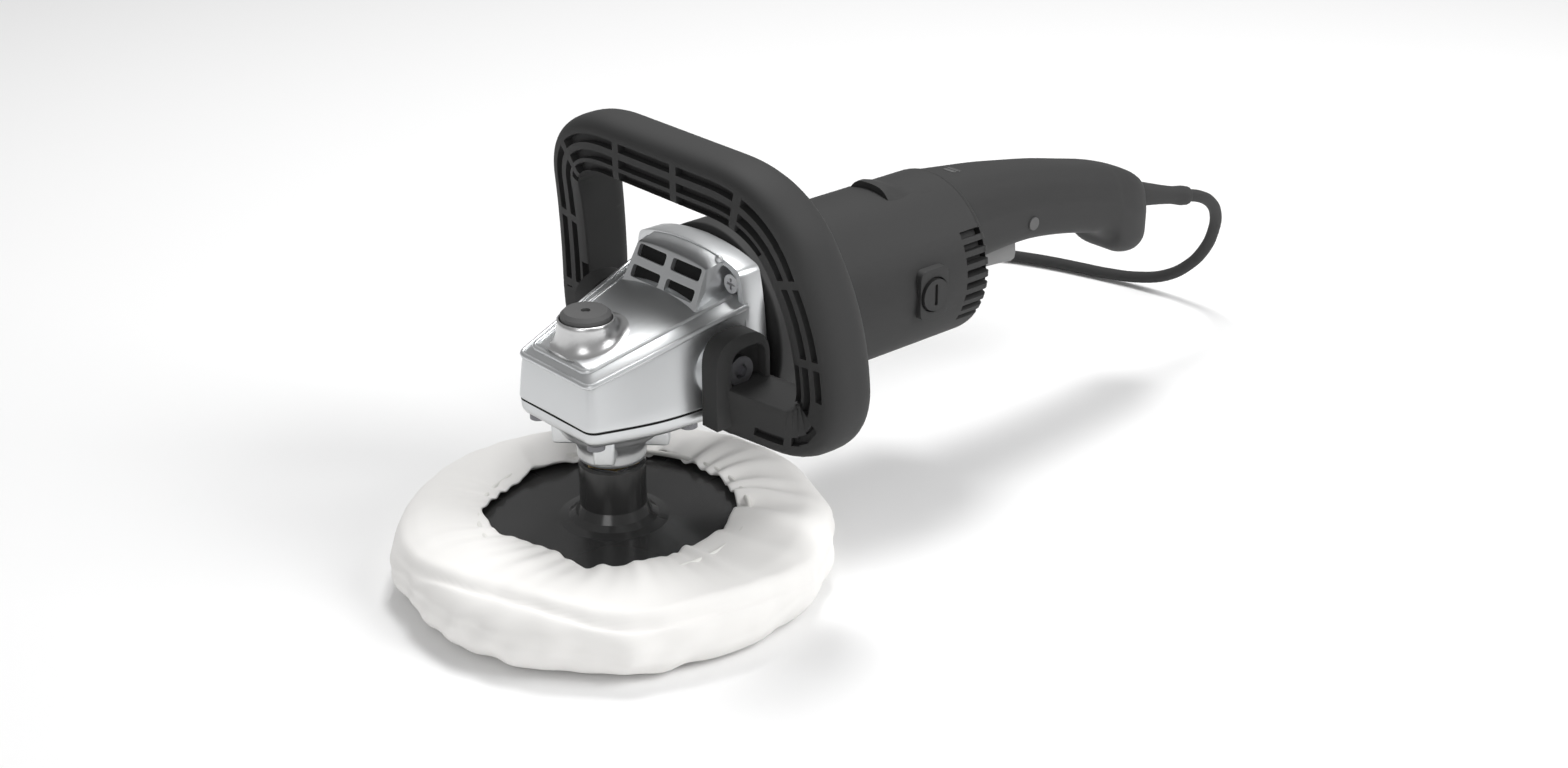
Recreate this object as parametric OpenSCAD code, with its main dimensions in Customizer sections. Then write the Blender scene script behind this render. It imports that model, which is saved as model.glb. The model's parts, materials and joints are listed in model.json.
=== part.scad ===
// Corded rotary polisher: angle gear head, round motor barrel, in-line rear handle,
// loop front handle, and a rigid backing pad under a soft bonnet.
// +Z is up, +X points to the nose, the origin is on the spindle axis at the bonnet's face.

/* [Pad] */
// Outer diameter of the soft bonnet
bonnet_d = 195; // [180:1:200]
// Height of the bonnet at rest
bonnet_h = 31; // [29:1:33]
// Diameter of the bonnet's opening on top
bonnet_open_d = 112; // [100:1:120]
// Diameter of the rigid backing pad
pad_d = 174; // [160:1:176]
// Diameter of the backing pad's hub
hub_d = 29; // [28:0.5:30]

/* [Gear head] */
// Height of the motor axis above the bonnet's face
axis_z = 101; // [100.5:0.1:101.5]
// Height of the seam between housing and bottom cover
seam_z = 84; // [83.8:0.1:84.2]
// Distance from the spindle axis to the nose
nose_x = 30; // [30:0.5:33]
// Half width of the rear flange
flange_half_w = 38.6; // [38.6:0.1:39]
// Teeth on the ring gear
ring_teeth = 37; // [37:1:37]
// Teeth on the pinion
pinion_teeth = 10; // [10:1:10]
// Tooth module at the large end
gear_module = 1.3; // [1.3:0.1:1.3]

/* [Motor] */
// Outer diameter of the motor barrel
barrel_d = 78; // [77:0.5:79]
// Wall thickness of the motor barrel
barrel_wall = 3; // [2.5:0.5:3]
// Outer diameter of the barrel's front flange
motor_flange_d = 90; // [86:1:92]
// Distance from the spindle axis to the barrel's rear face
barrel_end = 190; // [190:1:191]
// Ventilation slots on each side of the barrel's rear edge
vents_per_side = 8; // [6:1:9]

/* [Rear handle] */
// Wall thickness of the handle shells
shell_wall = 2.6; // [2.4:0.1:3]
// Travel of the lock-on button
lock_on_travel = 2.5; // [2:0.5:2.5]
// Diameter of the speed dial
dial_d = 20; // [19:0.5:20.5]

/* [Loop handle] */
// Height of the top bar's centre line
loop_top_z = 178.7; // [176:0.1:182]
// Depth of the handle's section, front to rear
loop_depth = 26; // [25:0.5:27]
// Width of the handle's section, in the plane of the loop
loop_width = 24; // [23:0.5:25]

/* [Cord] */
// Diameter of the mains cord
cord_d = 6.5; // [6.5:0.1:6.5]

/* [Hidden] */

$fn = 72;
fit = 0.05;              // radial clearance of a running fit
gap = 0.3;               // clearance between curved faces of different bodies
eps = 0.01;

// Pad stack heights
pile_h = 8.5;            // bonnet pile under the foam
foam_top = 18;
plate_top = 25;
hub_top = 54;
hub_foot_z = 28;
pad_r = pad_d / 2;
hub_r = hub_d / 2;
bonnet_r = bonnet_d / 2;
open_r = bonnet_open_d / 2;
string_r = 1.2;
string_at = [open_r + 2.4, bonnet_h - 2.3];

// Bevel gears: the cones' apex is on both axes, at [0, 0, axis_z]
ring_pitch_r = gear_module * ring_teeth / 2;
pinion_pitch_r = gear_module * pinion_teeth / 2;
gear_inner_scale = 0.68; // inner end of the teeth, as a fraction of the cone
tooth_out = 1.15;        // tip above the pitch line
tooth_in = 1.5;          // root below the pitch line
backlash = 0.36;
ring_gear_z = seam_z + 0.5;
web_top_z = 92;
lock_x = 11;             // axis of the lock button and its pin
lock_travel = 3;
lock_pin_r = 2.5;
lock_cap_r = 10.7;
lock_cap_top = 126;
lock_cap_h = 6.5;
lock_floor_z = 113;
lock_boss_top = 124;

// Bearings: [inner radius, outer radius, width]
lower_brg = [7.5, 17.5, 11];
lower_brg_z = 71;
spindle_r = 7;
bush_r = 5;
bush_z = [104, 110.5];
spindle_top = 110;
front_brg = [5, 15, 9];
front_brg_x = -43;
rear_brg = [4, 11, 7];
rear_brg_x = -172;

// Gear head outline
nose_half_w = 26;
waist_half_w = 36;
cover_z = 76;
flange_x = [-41, -55];
flange_low_z = 60;
flange_high_z = 138;
flange_crown_z = 143.4;
deck_nose_z = 106;
deck_rear_z = 123;
vent_half_w = 23;
flange_screw_at = [28.5, 30.5];      // y and z from the motor axis
cover_screw_at = [[23, 20], [23, -20], [-19, 29], [-19, -29]];

// Motor
barrel_r = barrel_d / 2;
motor_flange_x = [-57, -72];
vent_x = [-172, -187];
brush_x = -152;

// Rear handle sections: [x, centre z, half height, half width]
handle_sections = [
    [-190.2, 113.5, 25, 22], [-206, 113.4, 22.4, 20], [-243, 111.3, 19.7, 19],
    [-288, 103.5, 18.8, 18.5], [-326, 88, 22, 18], [-343, 88.5, 13.5, 13.5]
];
trigger_pivot = [-209, 99];
trigger_half_w = 7.6;
trigger_spring_x = -228;
trigger_seat_z = 96.4;
switch_z = 102.8;
switch_half_w = 9;
lock_on_at = [-239.5, 106.8];
lock_on_r = 3.2;
dial_at = [-202.5, 127.4];
dial_bore_r = 2;
handle_screw_at = [[-198, 95], [-259, 118], [-284, 112], [-322, 82]];
clamp_x = -280;
relief_from = [-342, 92];
relief_tilt = 15;
relief_len = 40;

// Loop handle centre line, right half: [x, y, z], and how far each corner is rounded
loop_points = [
    [-39.7, 0, loop_top_z], [-39.7, 66, loop_top_z], [-54, 80, 127], [-56.5, 83, 75], [-36, 40, 85]
];
loop_round = [52, 24, 26];
corner_steps = 9;
foot_y = [38.7, 47.5];
foot_x = [-18.5, -47.5];
foot_z = [78, 118];
bolt_at = [-33, 101];
peg_at = [-43, 99.5];

// Cord: the free stretch from the strain relief to the coil on the floor
cord_r = cord_d / 2;
cord_route = [
    [-372, 0, 84], [-380, 0, 81.8], [-392, 0, 78], [-404, -2, 71], [-414, -6, 61], [-421, -12, 48], [-425, -20, 34],
    [-426, -31, 21], [-425, -45, 11], [-422, -62, 5.5], [-417, -80, 3.6], [-412, -98, 3.25],
    [-406, -116, 3.25], [-398, -134, 3.25], [-387, -153, 3.25]
];
coil_at = [-341, -175];
coil_r = [29, 52];
coil_h = 17;
tail_route = [[-341, -222, 9], [-327, -226, 8], [-313, -230, 10], [-300, -232, 14], [-286, -232, 17.5]];
plug_at = [-290, -232, 17.5];
plug_pin_r = 2.4;
plug_root_r = 3;
plug_pin_gap = 19;
plug_pin_len = 19;

// ---------- helpers ----------

// Cylinder along X between two stations, centred on the motor axis
module along_x(x0, x1, r, y = 0, z = axis_z) {
    translate([min(x0, x1), y, z]) rotate([0, 90, 0]) cylinder(h = abs(x1 - x0), r = r);
}

module tube_x(x0, x1, r_in, r_out) {
    difference() {
        along_x(x0, x1, r_out);
        along_x(x0 - 1 * sign(x1 - x0), x1 + sign(x1 - x0), r_in);
    }
}

module along_y(y0, y1, r, x, z) {
    translate([x, max(y0, y1), z]) rotate([90, 0, 0]) cylinder(h = abs(y1 - y0), r = r);
}

// Ring about the spindle axis
module ring_z(z0, z1, r_in, r_out) {
    translate([0, 0, z0]) difference() {
        cylinder(h = z1 - z0, r = r_out);
        translate([0, 0, -1]) cylinder(h = z1 - z0 + 2, r = r_in);
    }
}

// Ball bearing about +Z with its two races, balls and shields as one solid ring
module bearing_ring(size) {
    shield = 0.6;
    rim = 2;
    difference() {
        cylinder(h = size[2], r = size[1]);
        translate([0, 0, -1]) cylinder(h = size[2] + 2, r = size[0]);
        for (z = [-eps, size[2] - shield]) translate([0, 0, z]) difference() {
            cylinder(h = shield + eps, r = size[1] - rim);
            translate([0, 0, -1]) cylinder(h = shield + 2, r = size[0] + rim);
        }
    }
}

function unit(v) = v / norm(v);

// Quadratic curve points that round a corner b between a and c
function corner_curve(a, b, c, reach, steps) =
    let(s = b + unit(a - b) * min(reach, norm(a - b) * 0.49),
        e = b + unit(c - b) * min(reach, norm(c - b) * 0.49))
    [for (i = [0:steps]) let(t = i / steps)
        (1 - t) * (1 - t) * s + 2 * t * (1 - t) * b + t * t * e];

// Points of a closed section with rounded corners, half sizes n and b
function round_section(n, b, r, steps = 4) = [
    for (q = [0:3]) for (i = [0:steps - 1])
        let(a = 90 * q + 90 * i / (steps - 1),
            sx = (q == 0 || q == 3) ? 1 : -1,
            sy = (q < 2) ? 1 : -1)
        [sx * (n - r) + r * cos(a), sy * (b - r) + r * sin(a)]
];

// Direction along a list of points
function tangent(p, i) = unit(p[min(i + 1, len(p) - 1)] - p[max(i - 1, 0)]);

// One closed surface swept along points; side is the direction the section's first axis keeps to
module sweep(points, section, side) {
    n = len(section);
    m = len(points);
    rings = [for (i = [0:m - 1])
        let(t = tangent(points, i), u = unit(side - (side * t) * t), v = cross(t, u))
        for (q = section) points[i] + u * q[0] + v * q[1]];
    faces = concat(
        [for (i = [0:m - 2]) for (j = [0:n - 1]) let(k = (j + 1) % n)
            [i * n + j, (i + 1) * n + j, (i + 1) * n + k]],
        [for (i = [0:m - 2]) for (j = [0:n - 1]) let(k = (j + 1) % n)
            [i * n + j, (i + 1) * n + k, i * n + k]],
        [[for (j = [0:n - 1]) j]],
        [[for (j = [n - 1:-1:0]) (m - 1) * n + j]]
    );
    polyhedron(points = rings, faces = faces, convexity = 6);
}

function circle_section(r, n) = [for (i = [0:n - 1]) r * [cos(360 * i / n), sin(360 * i / n)]];

// Coil spring standing on +Z
module coil_spring(r, wire_r, h, turns) {
    per_turn = 14;
    steps = turns * per_turn;
    points = [for (i = [0:steps]) let(a = 360 * i / per_turn)
        [r * cos(a), r * sin(a), wire_r + (h - 2 * wire_r) * i / steps]];
    sweep(points, circle_section(wire_r, 8), [0, 0, 1]);
}

// Pan-head screw along +Z, head at the origin and shank below it
module screw(head_r, head_h, shank_r, shank_len) {
    slot_w = 1.2;
    difference() {
        union() {
            cylinder(h = head_h, r = head_r);
            translate([0, 0, -shank_len]) cylinder(h = shank_len + eps, r = shank_r);
        }
        for (a = [0, 90]) rotate([0, 0, a])
            translate([-head_r * 0.6, -slot_w / 2, head_h * 0.45]) cube([head_r * 1.2, slot_w, head_h]);
    }
}

// Outline of the gear head seen from above
module head_outline(inset = 0) {
    n = nose_half_w - inset;
    w = waist_half_w - inset;
    x = nose_x - inset;
    c = 5;
    polygon([
        [x, -n + c], [x, n - c], [x - c, n], [2, w - 1], [-10, w], [-31, w], [-31, -w], [-10, -w],
        [2, -w + 1], [x - c, -n]
    ]);
}

// Handle section as a thin slab
module handle_slab(s, inset = 0) {
    hh = s[2] - inset;
    hw = s[3] - inset;
    r = min(hh, hw) * 0.72;
    translate([s[0], 0, s[1]]) rotate([90, 0, 90]) linear_extrude(0.2)
        polygon(round_section(hw, hh, r, 6));
}

// ---------- pad stack ----------

module bonnet() {
    color("white") difference() {
        rotate_extrude($fn = 96) polygon([
            [0, 0], [bonnet_r - 12, 0], [bonnet_r - 5, 2], [bonnet_r - 1, 7], [bonnet_r, 14],
            [bonnet_r - 1, 21], [bonnet_r - 6, 27], [bonnet_r - 14, bonnet_h], [open_r + 4, bonnet_h],
            [open_r, bonnet_h - 2], [open_r, plate_top + 1.5], [pad_r + 1.5, plate_top + 1.5],
            [pad_r + 1.5, pile_h], [0, pile_h]
        ]);
        rotate_extrude($fn = 96) translate(string_at) circle(r = string_r, $fn = 24);
    }
}

module bonnet_drawstring() {
    color("whitesmoke") rotate_extrude($fn = 96) translate(string_at) circle(r = string_r, $fn = 24);
}

module foam_layer() {
    color("dimgray") translate([0, 0, pile_h]) cylinder(h = foam_top - pile_h, r = pad_r);
}

module backing_pad() {
    color("#161616") difference() {
        union() {
            rotate_extrude($fn = 96) polygon([
                [0, foam_top], [pad_r - 1, foam_top], [pad_r, foam_top + 2], [pad_r - 2, plate_top - 2],
                [pad_r - 10, plate_top], [24, plate_top + 2], [19.5, hub_foot_z], [16.5, hub_foot_z + 2],
                [hub_r, hub_foot_z + 6], [hub_r, hub_top - 1], [hub_r - 1, hub_top], [0, hub_top]
            ]);
            for (a = [0:30:330]) rotate([0, 0, a])
                translate([22, -1.2, plate_top - 1]) cube([44, 2.4, 2]);
        }
        translate([0, 0, 21]) cylinder(h = 40, r = 7.05);
        translate([0, 0, 30]) cylinder(h = 30, r = 11 / cos(30), $fn = 6);
    }
}

module hub_insert() {
    color("goldenrod") difference() {
        translate([0, 0, 30]) cylinder(h = hub_top - 31, r = 11 / cos(30), $fn = 6);
        translate([0, 0, 29]) cylinder(h = 40, r = 7.05);
    }
}

module spindle() {
    seat_r = lower_brg[0] - fit;
    color("silver") difference() {
        rotate_extrude() polygon([
            [0, 24], [6, 24], [spindle_r, 25], [spindle_r, hub_top + 0.2], [9.5, hub_top + 0.2],
            [9.5, 57.5], [seat_r, 58.5], [seat_r, ring_gear_z], [spindle_r, ring_gear_z],
            [spindle_r, web_top_z + 3], [bush_r, web_top_z + 5], [bush_r, spindle_top - 0.6],
            [bush_r - 0.6, spindle_top], [0, spindle_top]
        ]);
        // thread grooves
        for (z = [26:2:50]) translate([0, 0, z]) ring_z(0, 0.9, spindle_r - 0.5, spindle_r + 1);
    }
}

// One tooth gap of the ring gear, from scale a to scale b of the cone
module ring_gap(a, b) {
    pitch = pinion_pitch_r;
    root = pitch + tooth_in;
    tip = pitch - tooth_out - 1;
    half = PI * gear_module / 4 + backlash;
    slope = tan(20);
    prof = [
        [-(half + slope * (pitch - tip)), -tip], [half + slope * (pitch - tip), -tip],
        [half - slope * tooth_in, -root], [-(half - slope * tooth_in), -root]
    ];
    pts = [for (s = [a, b]) for (q = prof) [ring_pitch_r * s, q[0] * s, axis_z + q[1] * s]];
    polyhedron(points = pts, faces = [
        [3, 2, 1, 0], [4, 5, 6, 7], [0, 1, 5, 4], [1, 2, 6, 5], [2, 3, 7, 6], [3, 0, 4, 7]
    ]);
}

module ring_gear() {
    cone = [ring_pitch_r, -pinion_pitch_r];
    lift = tooth_out * [0.26, 0.966];
    outer = cone + lift;
    inner = gear_inner_scale * (cone + lift);
    color("gray") difference() {
        rotate_extrude() polygon([
            [spindle_r + 0.02, ring_gear_z], [14, ring_gear_z], [16, ring_gear_z + 1.5], [outer[0] - 1, ring_gear_z + 1.5],
            [outer[0] + 0.4, ring_gear_z + 3], [outer[0] + 0.4, axis_z + outer[1] - 1.4],
            [outer[0], axis_z + outer[1]], [inner[0], axis_z + inner[1]], [inner[0] - 1, web_top_z],
            [spindle_r + 0.02, web_top_z]
        ]);
        for (i = [0:ring_teeth - 1]) rotate([0, 0, 180 + i * 360 / ring_teeth])
            ring_gap(gear_inner_scale * 0.85, 1.12);
        for (a = [0:45:315]) rotate([0, 0, a])
            translate([lock_x, 0, web_top_z - 3]) cylinder(h = 4, r = lock_pin_r + 0.4, $fn = 32);
    }
}

module spindle_circlip() {
    color("darkgray") difference() {
        ring_z(web_top_z, web_top_z + 1.1, spindle_r + 0.02, 8.2);
        translate([-1, 0, web_top_z - 1]) cube([2, 12, 4]);
    }
}

// ---------- gear head ----------

module lower_bearing() {
    color("silver") translate([0, 0, lower_brg_z]) bearing_ring(lower_brg);
}

module upper_bush() {
    color("peru") ring_z(bush_z[0], bush_z[1], bush_r + fit, 7.8);
}

module dust_seal() {
    color("black") ring_z(59.5, 63, lower_brg[0] + gap, 12);
}

module bearing_cover() {
    lug_w = 9;
    color("lightgray") difference() {
        union() {
            translate([0, 0, cover_z]) linear_extrude(seam_z - 0.8 - cover_z) head_outline(1.5);
            rotate_extrude() polygon([
                [0, 56], [14.4, 56], [15, 56.6], [15, 62], [17.5, 66], [21.5, 68.5], [21.5, cover_z + eps],
                [0, cover_z + eps]
            ]);
            for (a = [45:90:315]) rotate([0, 0, a]) translate([12, -lug_w / 2, 63])
                cube([13, lug_w, cover_z - 63 + eps]);
        }
        translate([0, 0, 55]) cylinder(h = 20, r = 12);
        translate([0, 0, lower_brg_z]) cylinder(h = 20, r = lower_brg[1]);
        for (p = cover_screw_at) translate([p[0], p[1], 70]) cylinder(h = 20, r = 2.05, $fn = 32);
    }
}

module cover_gasket() {
    color("#202020") difference() {
        translate([0, 0, seam_z - 0.8]) linear_extrude(0.8) head_outline(2.2);
        translate([0, 0, 80]) cylinder(h = 10, r = 26.3);
        for (p = cover_screw_at) translate([p[0], p[1], 70]) cylinder(h = 20, r = 2.05, $fn = 32);
    }
}

module cover_screws() {
    color("dimgray") for (p = cover_screw_at)
        translate([p[0], p[1], cover_z]) rotate([180, 0, 0]) screw(3.8, 2.4, 2, 18);
}

module flange_plate() {
    w = flange_half_w;
    c = 8;
    translate([flange_x[1], 0, 0]) rotate([90, 0, 90]) linear_extrude(flange_x[0] - flange_x[1])
        polygon([
            [-w, flange_low_z + c], [-w + c, flange_low_z], [w - c, flange_low_z], [w, flange_low_z + c],
            [w, flange_high_z - 3], [w - 4, flange_high_z], [24, flange_high_z + 4], [12, flange_crown_z - 0.8],
            [0, flange_crown_z], [-12, flange_crown_z - 0.8], [-24, flange_high_z + 4],
            [-w + 4, flange_high_z], [-w, flange_high_z - 3]
        ]);
}

module gear_housing() {
    color("lightgray") difference() {
        union() {
            hull() {
                translate([0, 0, seam_z]) linear_extrude(18) head_outline();
                for (s = [-1, 1]) {
                    translate([nose_x - 7, s * (nose_half_w - 8), deck_nose_z - 3]) sphere(r = 3, $fn = 24);
                    translate([flange_x[0], s * (waist_half_w - 8), deck_rear_z - 4]) sphere(r = 4, $fn = 24);
                    translate([flange_x[0], s * (waist_half_w - 1), 113]) sphere(r = 2, $fn = 24);
                }
                translate([flange_x[0], -waist_half_w, seam_z]) cube([1, 2 * waist_half_w, 20]);
            }
            hull() {
                translate([-27.5, -vent_half_w, 110]) cube([1, 2 * vent_half_w, 10]);
                translate([-36, -vent_half_w, 110]) cube([1, 2 * vent_half_w, 30]);
                translate([flange_x[0] - 1, -vent_half_w, 110]) cube([1, 2 * vent_half_w, 32]);
            }
            translate([-33, -30, flange_low_z + 8]) mirror([1, 0, 0]) cube([9, 60, 30]);
            flange_plate();
            translate([lock_x, 0, 100]) cylinder(h = lock_boss_top - 100, r1 = 15.5, r2 = 13);
            for (s = [-1, 1]) along_y(s * 30, s * (foot_y[0] - 0.1), 13, bolt_at[0], bolt_at[1] - 1);
        }
        // gear cavity, pinion tunnel and air duct
        translate([0, 0, seam_z - 1]) cylinder(h = 17, r = 26.3);
        difference() {
            translate([0, 0, 99]) cylinder(h = 6, r = 21);
            translate([0, 0, 104]) cylinder(h = 12, r = 11);
        }
        along_x(-12, front_brg_x - 20, 10);
        along_x(front_brg_x, -60, front_brg[1]);
        translate([-60, -21, 119]) cube([28, 42, 18]);
        // bush seat, lock pin bore and lock button recess
        translate([0, 0, bush_z[0]]) cylinder(h = bush_z[1] - bush_z[0], r = 7.8);
        translate([lock_x, 0, 95]) cylinder(h = 40, r = lock_pin_r + fit);
        translate([lock_x, 0, lock_floor_z]) cylinder(h = 20, r = lock_cap_r + gap);
        // air outlets, two rows of two
        for (s = [-1, 1]) for (row = [0, 1])
            translate([-40, s * 11.5 - 8.5, 123.5 + row * 8]) cube([20, 17, 4.6]);
        // flange screws and their pockets
        for (s = [-1, 1]) for (t = [-1, 1]) {
            along_x(flange_x[1] - 1, -30, 2.3, s * flange_screw_at[0], axis_z + t * flange_screw_at[1]);
            along_x(-46, -30, 5.2, s * flange_screw_at[0], axis_z + t * flange_screw_at[1]);
        }
        // bolt holes for the loop handle and screw holes for the cover
        for (s = [-1, 1]) along_y(s * 24, s * 50, 3.4, bolt_at[0], bolt_at[1]);
        for (p = cover_screw_at) translate([p[0], p[1], 80]) cylinder(h = 17, r = 2.0, $fn = 32);
    }
}

module flange_screws() {
    color("silver") for (s = [-1, 1]) for (t = [-1, 1])
        translate([-46, s * flange_screw_at[0], axis_z + t * flange_screw_at[1]])
            rotate([0, 90, 0]) screw(4.2, 2.6, 2.2, 21);
}

module lock_button() {
    color("#2c2c2c") difference() {
        union() {
            translate([lock_x, 0, lock_cap_top - lock_cap_h]) cylinder(h = lock_cap_h - 1.5, r = lock_cap_r);
            translate([lock_x, 0, lock_cap_top - 1.5 - eps])
                cylinder(h = 1.5 + eps, r1 = lock_cap_r, r2 = lock_cap_r - 1.5);
            translate([lock_x, 0, web_top_z + lock_travel + 0.6])
                cylinder(h = lock_cap_top - web_top_z - lock_travel - 4, r = lock_pin_r);
        }
        translate([lock_x, 0, lock_cap_top - 1.2]) cylinder(h = 3, r = 2);
    }
}

module lock_spring() {
    color("gray") translate([lock_x, 0, lock_floor_z])
        coil_spring(5, 0.4, lock_cap_top - lock_cap_h - lock_floor_z, 3);
}

// ---------- motor ----------

// One tooth gap of the pinion, centred on +Z of the motor axis
module pinion_gap(a, b) {
    r = pinion_pitch_r;
    prof = [
        [-2.6, r + tooth_out + 1], [2.6, r + tooth_out + 1], [1.5, r + 0.75], [1.1, r],
        [0.72, r - 0.8], [0.6, r - tooth_in], [-0.6, r - tooth_in], [-0.72, r - 0.8], [-1.1, r], [-1.5, r + 0.75]
    ];
    n = len(prof);
    pts = [for (s = [a, b]) for (q = prof) [-ring_pitch_r * s, q[0] * s, q[1] * s]];
    polyhedron(points = pts, faces = concat(
        [[for (i = [0:n - 1]) i], [for (i = [n - 1:-1:0]) n + i]],
        [for (i = [0:n - 1]) let(k = (i + 1) % n) [i, n + i, n + k, k]]
    ));
}

module pinion_gear() {
    tip = pinion_pitch_r + tooth_out;
    color("gray") difference() {
        union() {
            translate([0, 0, axis_z]) rotate([0, -90, 0])
                translate([0, 0, ring_pitch_r * gear_inner_scale])
                cylinder(h = ring_pitch_r * (1 - gear_inner_scale), r1 = tip * gear_inner_scale, r2 = tip);
            along_x(-ring_pitch_r + eps, -ring_pitch_r - 0.8, 4.6);
            along_x(-ring_pitch_r - 0.7, -35, 6.3);
        }
        for (i = [0:pinion_teeth - 1]) translate([0, 0, axis_z])
            rotate([180 + (i + 0.5) * 360 / pinion_teeth, 0, 0]) pinion_gap(gear_inner_scale * 0.9, 1.02);
        along_x(-10, -40, 3);
    }
}

module armature_shaft() {
    color("silver") union() {
        along_x(-17, -36, 3);
        along_x(-36 + eps, -58, front_brg[0] - fit);
        along_x(-58 + eps, -170, 5.5);
        along_x(-170 + eps, -180, rear_brg[0] - fit);
    }
}

module front_bearing() {
    color("silver") translate([front_brg_x, 0, axis_z]) rotate([0, -90, 0]) bearing_ring(front_brg);
}

module bearing_retainer() {
    color("dimgray") difference() {
        tube_x(-52, -54, 8, 15);
        for (s = [-1, 1]) along_x(-51, -56, 1.6, 0, axis_z + s * 11.8);
    }
}

module air_baffle() {
    color("#101010") tube_x(-55, -57, 30, 37);
}

module cooling_fan() {
    blades = 14;
    color("#2a2a2a") union() {
        tube_x(-59, -70, 5.52, 9);
        tube_x(-68, -70, 8, 33.5);
        difference() {
            for (i = [0:blades - 1]) translate([0, 0, axis_z]) rotate([i * 360 / blades, 0, 0])
                translate([-68.5, -0.9, 8.5]) cube([8.5, 1.8, 24.5]);
            along_x(-50, -80, 5.52);
        }
    }
}

module armature_core() {
    slots = 12;
    color("slategray") difference() {
        tube_x(-82, -130, 5.52, 23);
        for (i = [0:slots - 1]) translate([0, 0, axis_z]) rotate([i * 360 / slots, 0, 0])
            translate([-131, -1.4, 20.5]) cube([50, 2.8, 5]);
    }
}

module armature_windings() {
    color("chocolate") for (x = [[-75, -82], [-130, -138]]) difference() {
        along_x(x[0], x[1], 20);
        along_x(x[0] + 1, x[1] - 1, 5.52);
    }
}

module commutator() {
    bars = 24;
    color("peru") difference() {
        tube_x(-143, -161, 5.52, 13);
        for (i = [0:bars - 1]) translate([0, 0, axis_z]) rotate([i * 360 / bars, 0, 0])
            translate([-160, -0.3, 12.2]) cube([15, 0.6, 2]);
    }
}

module rear_bearing() {
    color("silver") translate([rear_brg_x, 0, axis_z]) rotate([0, -90, 0]) bearing_ring(rear_brg);
}

module stator_core() {
    color("slategray") difference() {
        intersection() {
            along_x(-82, -130, barrel_r - barrel_wall - 0.1);
            translate([-140, -40, axis_z - 31]) cube([70, 80, 62]);
        }
        along_x(-80, -135, 24);
    }
}

module field_coils() {
    color("chocolate") for (x = [[-76, -82], [-130, -139]]) for (s = [0, 180])
        translate([0, 0, axis_z]) rotate([s, 0, 0]) translate([0, 0, -axis_z]) difference() {
            along_x(x[0], x[1], 33);
            along_x(x[0] + 1, x[1] - 1, 25);
            translate([x[1] - 1, -40, axis_z - 40]) cube([20, 80, 52]);
        }
}

// Spider that holds the rear bearing
module motor_spider(r_in) {
    tube_x(-170, -181, rear_brg[1], 14);
    tube_x(-179.2, -181, 6, 13);
    for (a = [45:90:315]) translate([0, 0, axis_z]) rotate([a, 0, 0])
        translate([-181, -2, 13.5]) cube([8, 4, r_in - 13.4]);
}

module motor_housing() {
    r_in = barrel_r - barrel_wall;
    color("#1c1c1c") union() {
        motor_spider(r_in);
        difference() {
            union() {
                along_x(motor_flange_x[0], motor_flange_x[1], motor_flange_d / 2);
                translate([motor_flange_x[1], 0, axis_z]) rotate([0, -90, 0])
                    cylinder(h = 8, r1 = motor_flange_d / 2, r2 = barrel_r);
                along_x(-60, -barrel_end, barrel_r);
                for (s = [-1, 1]) translate([brush_x, s * (barrel_r - 2), axis_z])
                    cube([20, 9, 28], center = true);
                // transverse lip on top
                translate([0, -14, 0]) rotate([90, 0, 0]) mirror([0, 0, 1]) linear_extrude(28)
                    polygon([[-150, 130], [-150, 142.5], [-153, 143.4], [-163, 140.5], [-172, 130]]);
            }
            along_x(-50, -163, r_in);
            along_x(-160, -barrel_end + 3, r_in);
            translate([-160, 0, 0]) along_x(-27, -40, 14);
            // rear-edge ventilation slots
            for (s = [-1, 1]) for (i = [0:vents_per_side - 1])
                translate([0, 0, axis_z]) rotate([s * (58 + i * 10.5), 0, 0])
                    translate([vent_x[1], -1.7, r_in - 2]) cube([vent_x[0] - vent_x[1], 3.4, 10]);
            // brush cap seats
            for (s = [-1, 1]) along_y(s * 30, s * 50, 7.6, brush_x, axis_z);
            // screw holes for the gear head
            for (s = [-1, 1]) for (t = [-1, 1])
                along_x(-50, -70, 2.2, s * flange_screw_at[0], axis_z + t * flange_screw_at[1]);
        }
    }
}

module brush_holders() {
    color("goldenrod") for (s = [-1, 1]) difference() {
        translate([brush_x, s * 24.25, axis_z]) cube([12, 17.5, 9], center = true);
        translate([brush_x, s * 24, axis_z]) cube([9.2, 20, 6.2], center = true);
    }
}

module carbon_brushes() {
    color("#303030") for (s = [-1, 1])
        translate([brush_x, s * 21.8, axis_z]) cube([9, 17, 6], center = true);
}

module brush_caps() {
    color("#1a1a1a") for (s = [-1, 1]) difference() {
        along_y(s * 33, s * 42.4, 7.5, brush_x, axis_z);
        translate([brush_x, s * 42.4, axis_z]) cube([1.8, 2.4, 10], center = true);
        along_y(s * 32, s * 38, 5, brush_x, axis_z);
    }
}

// ---------- rear handle ----------

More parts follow.
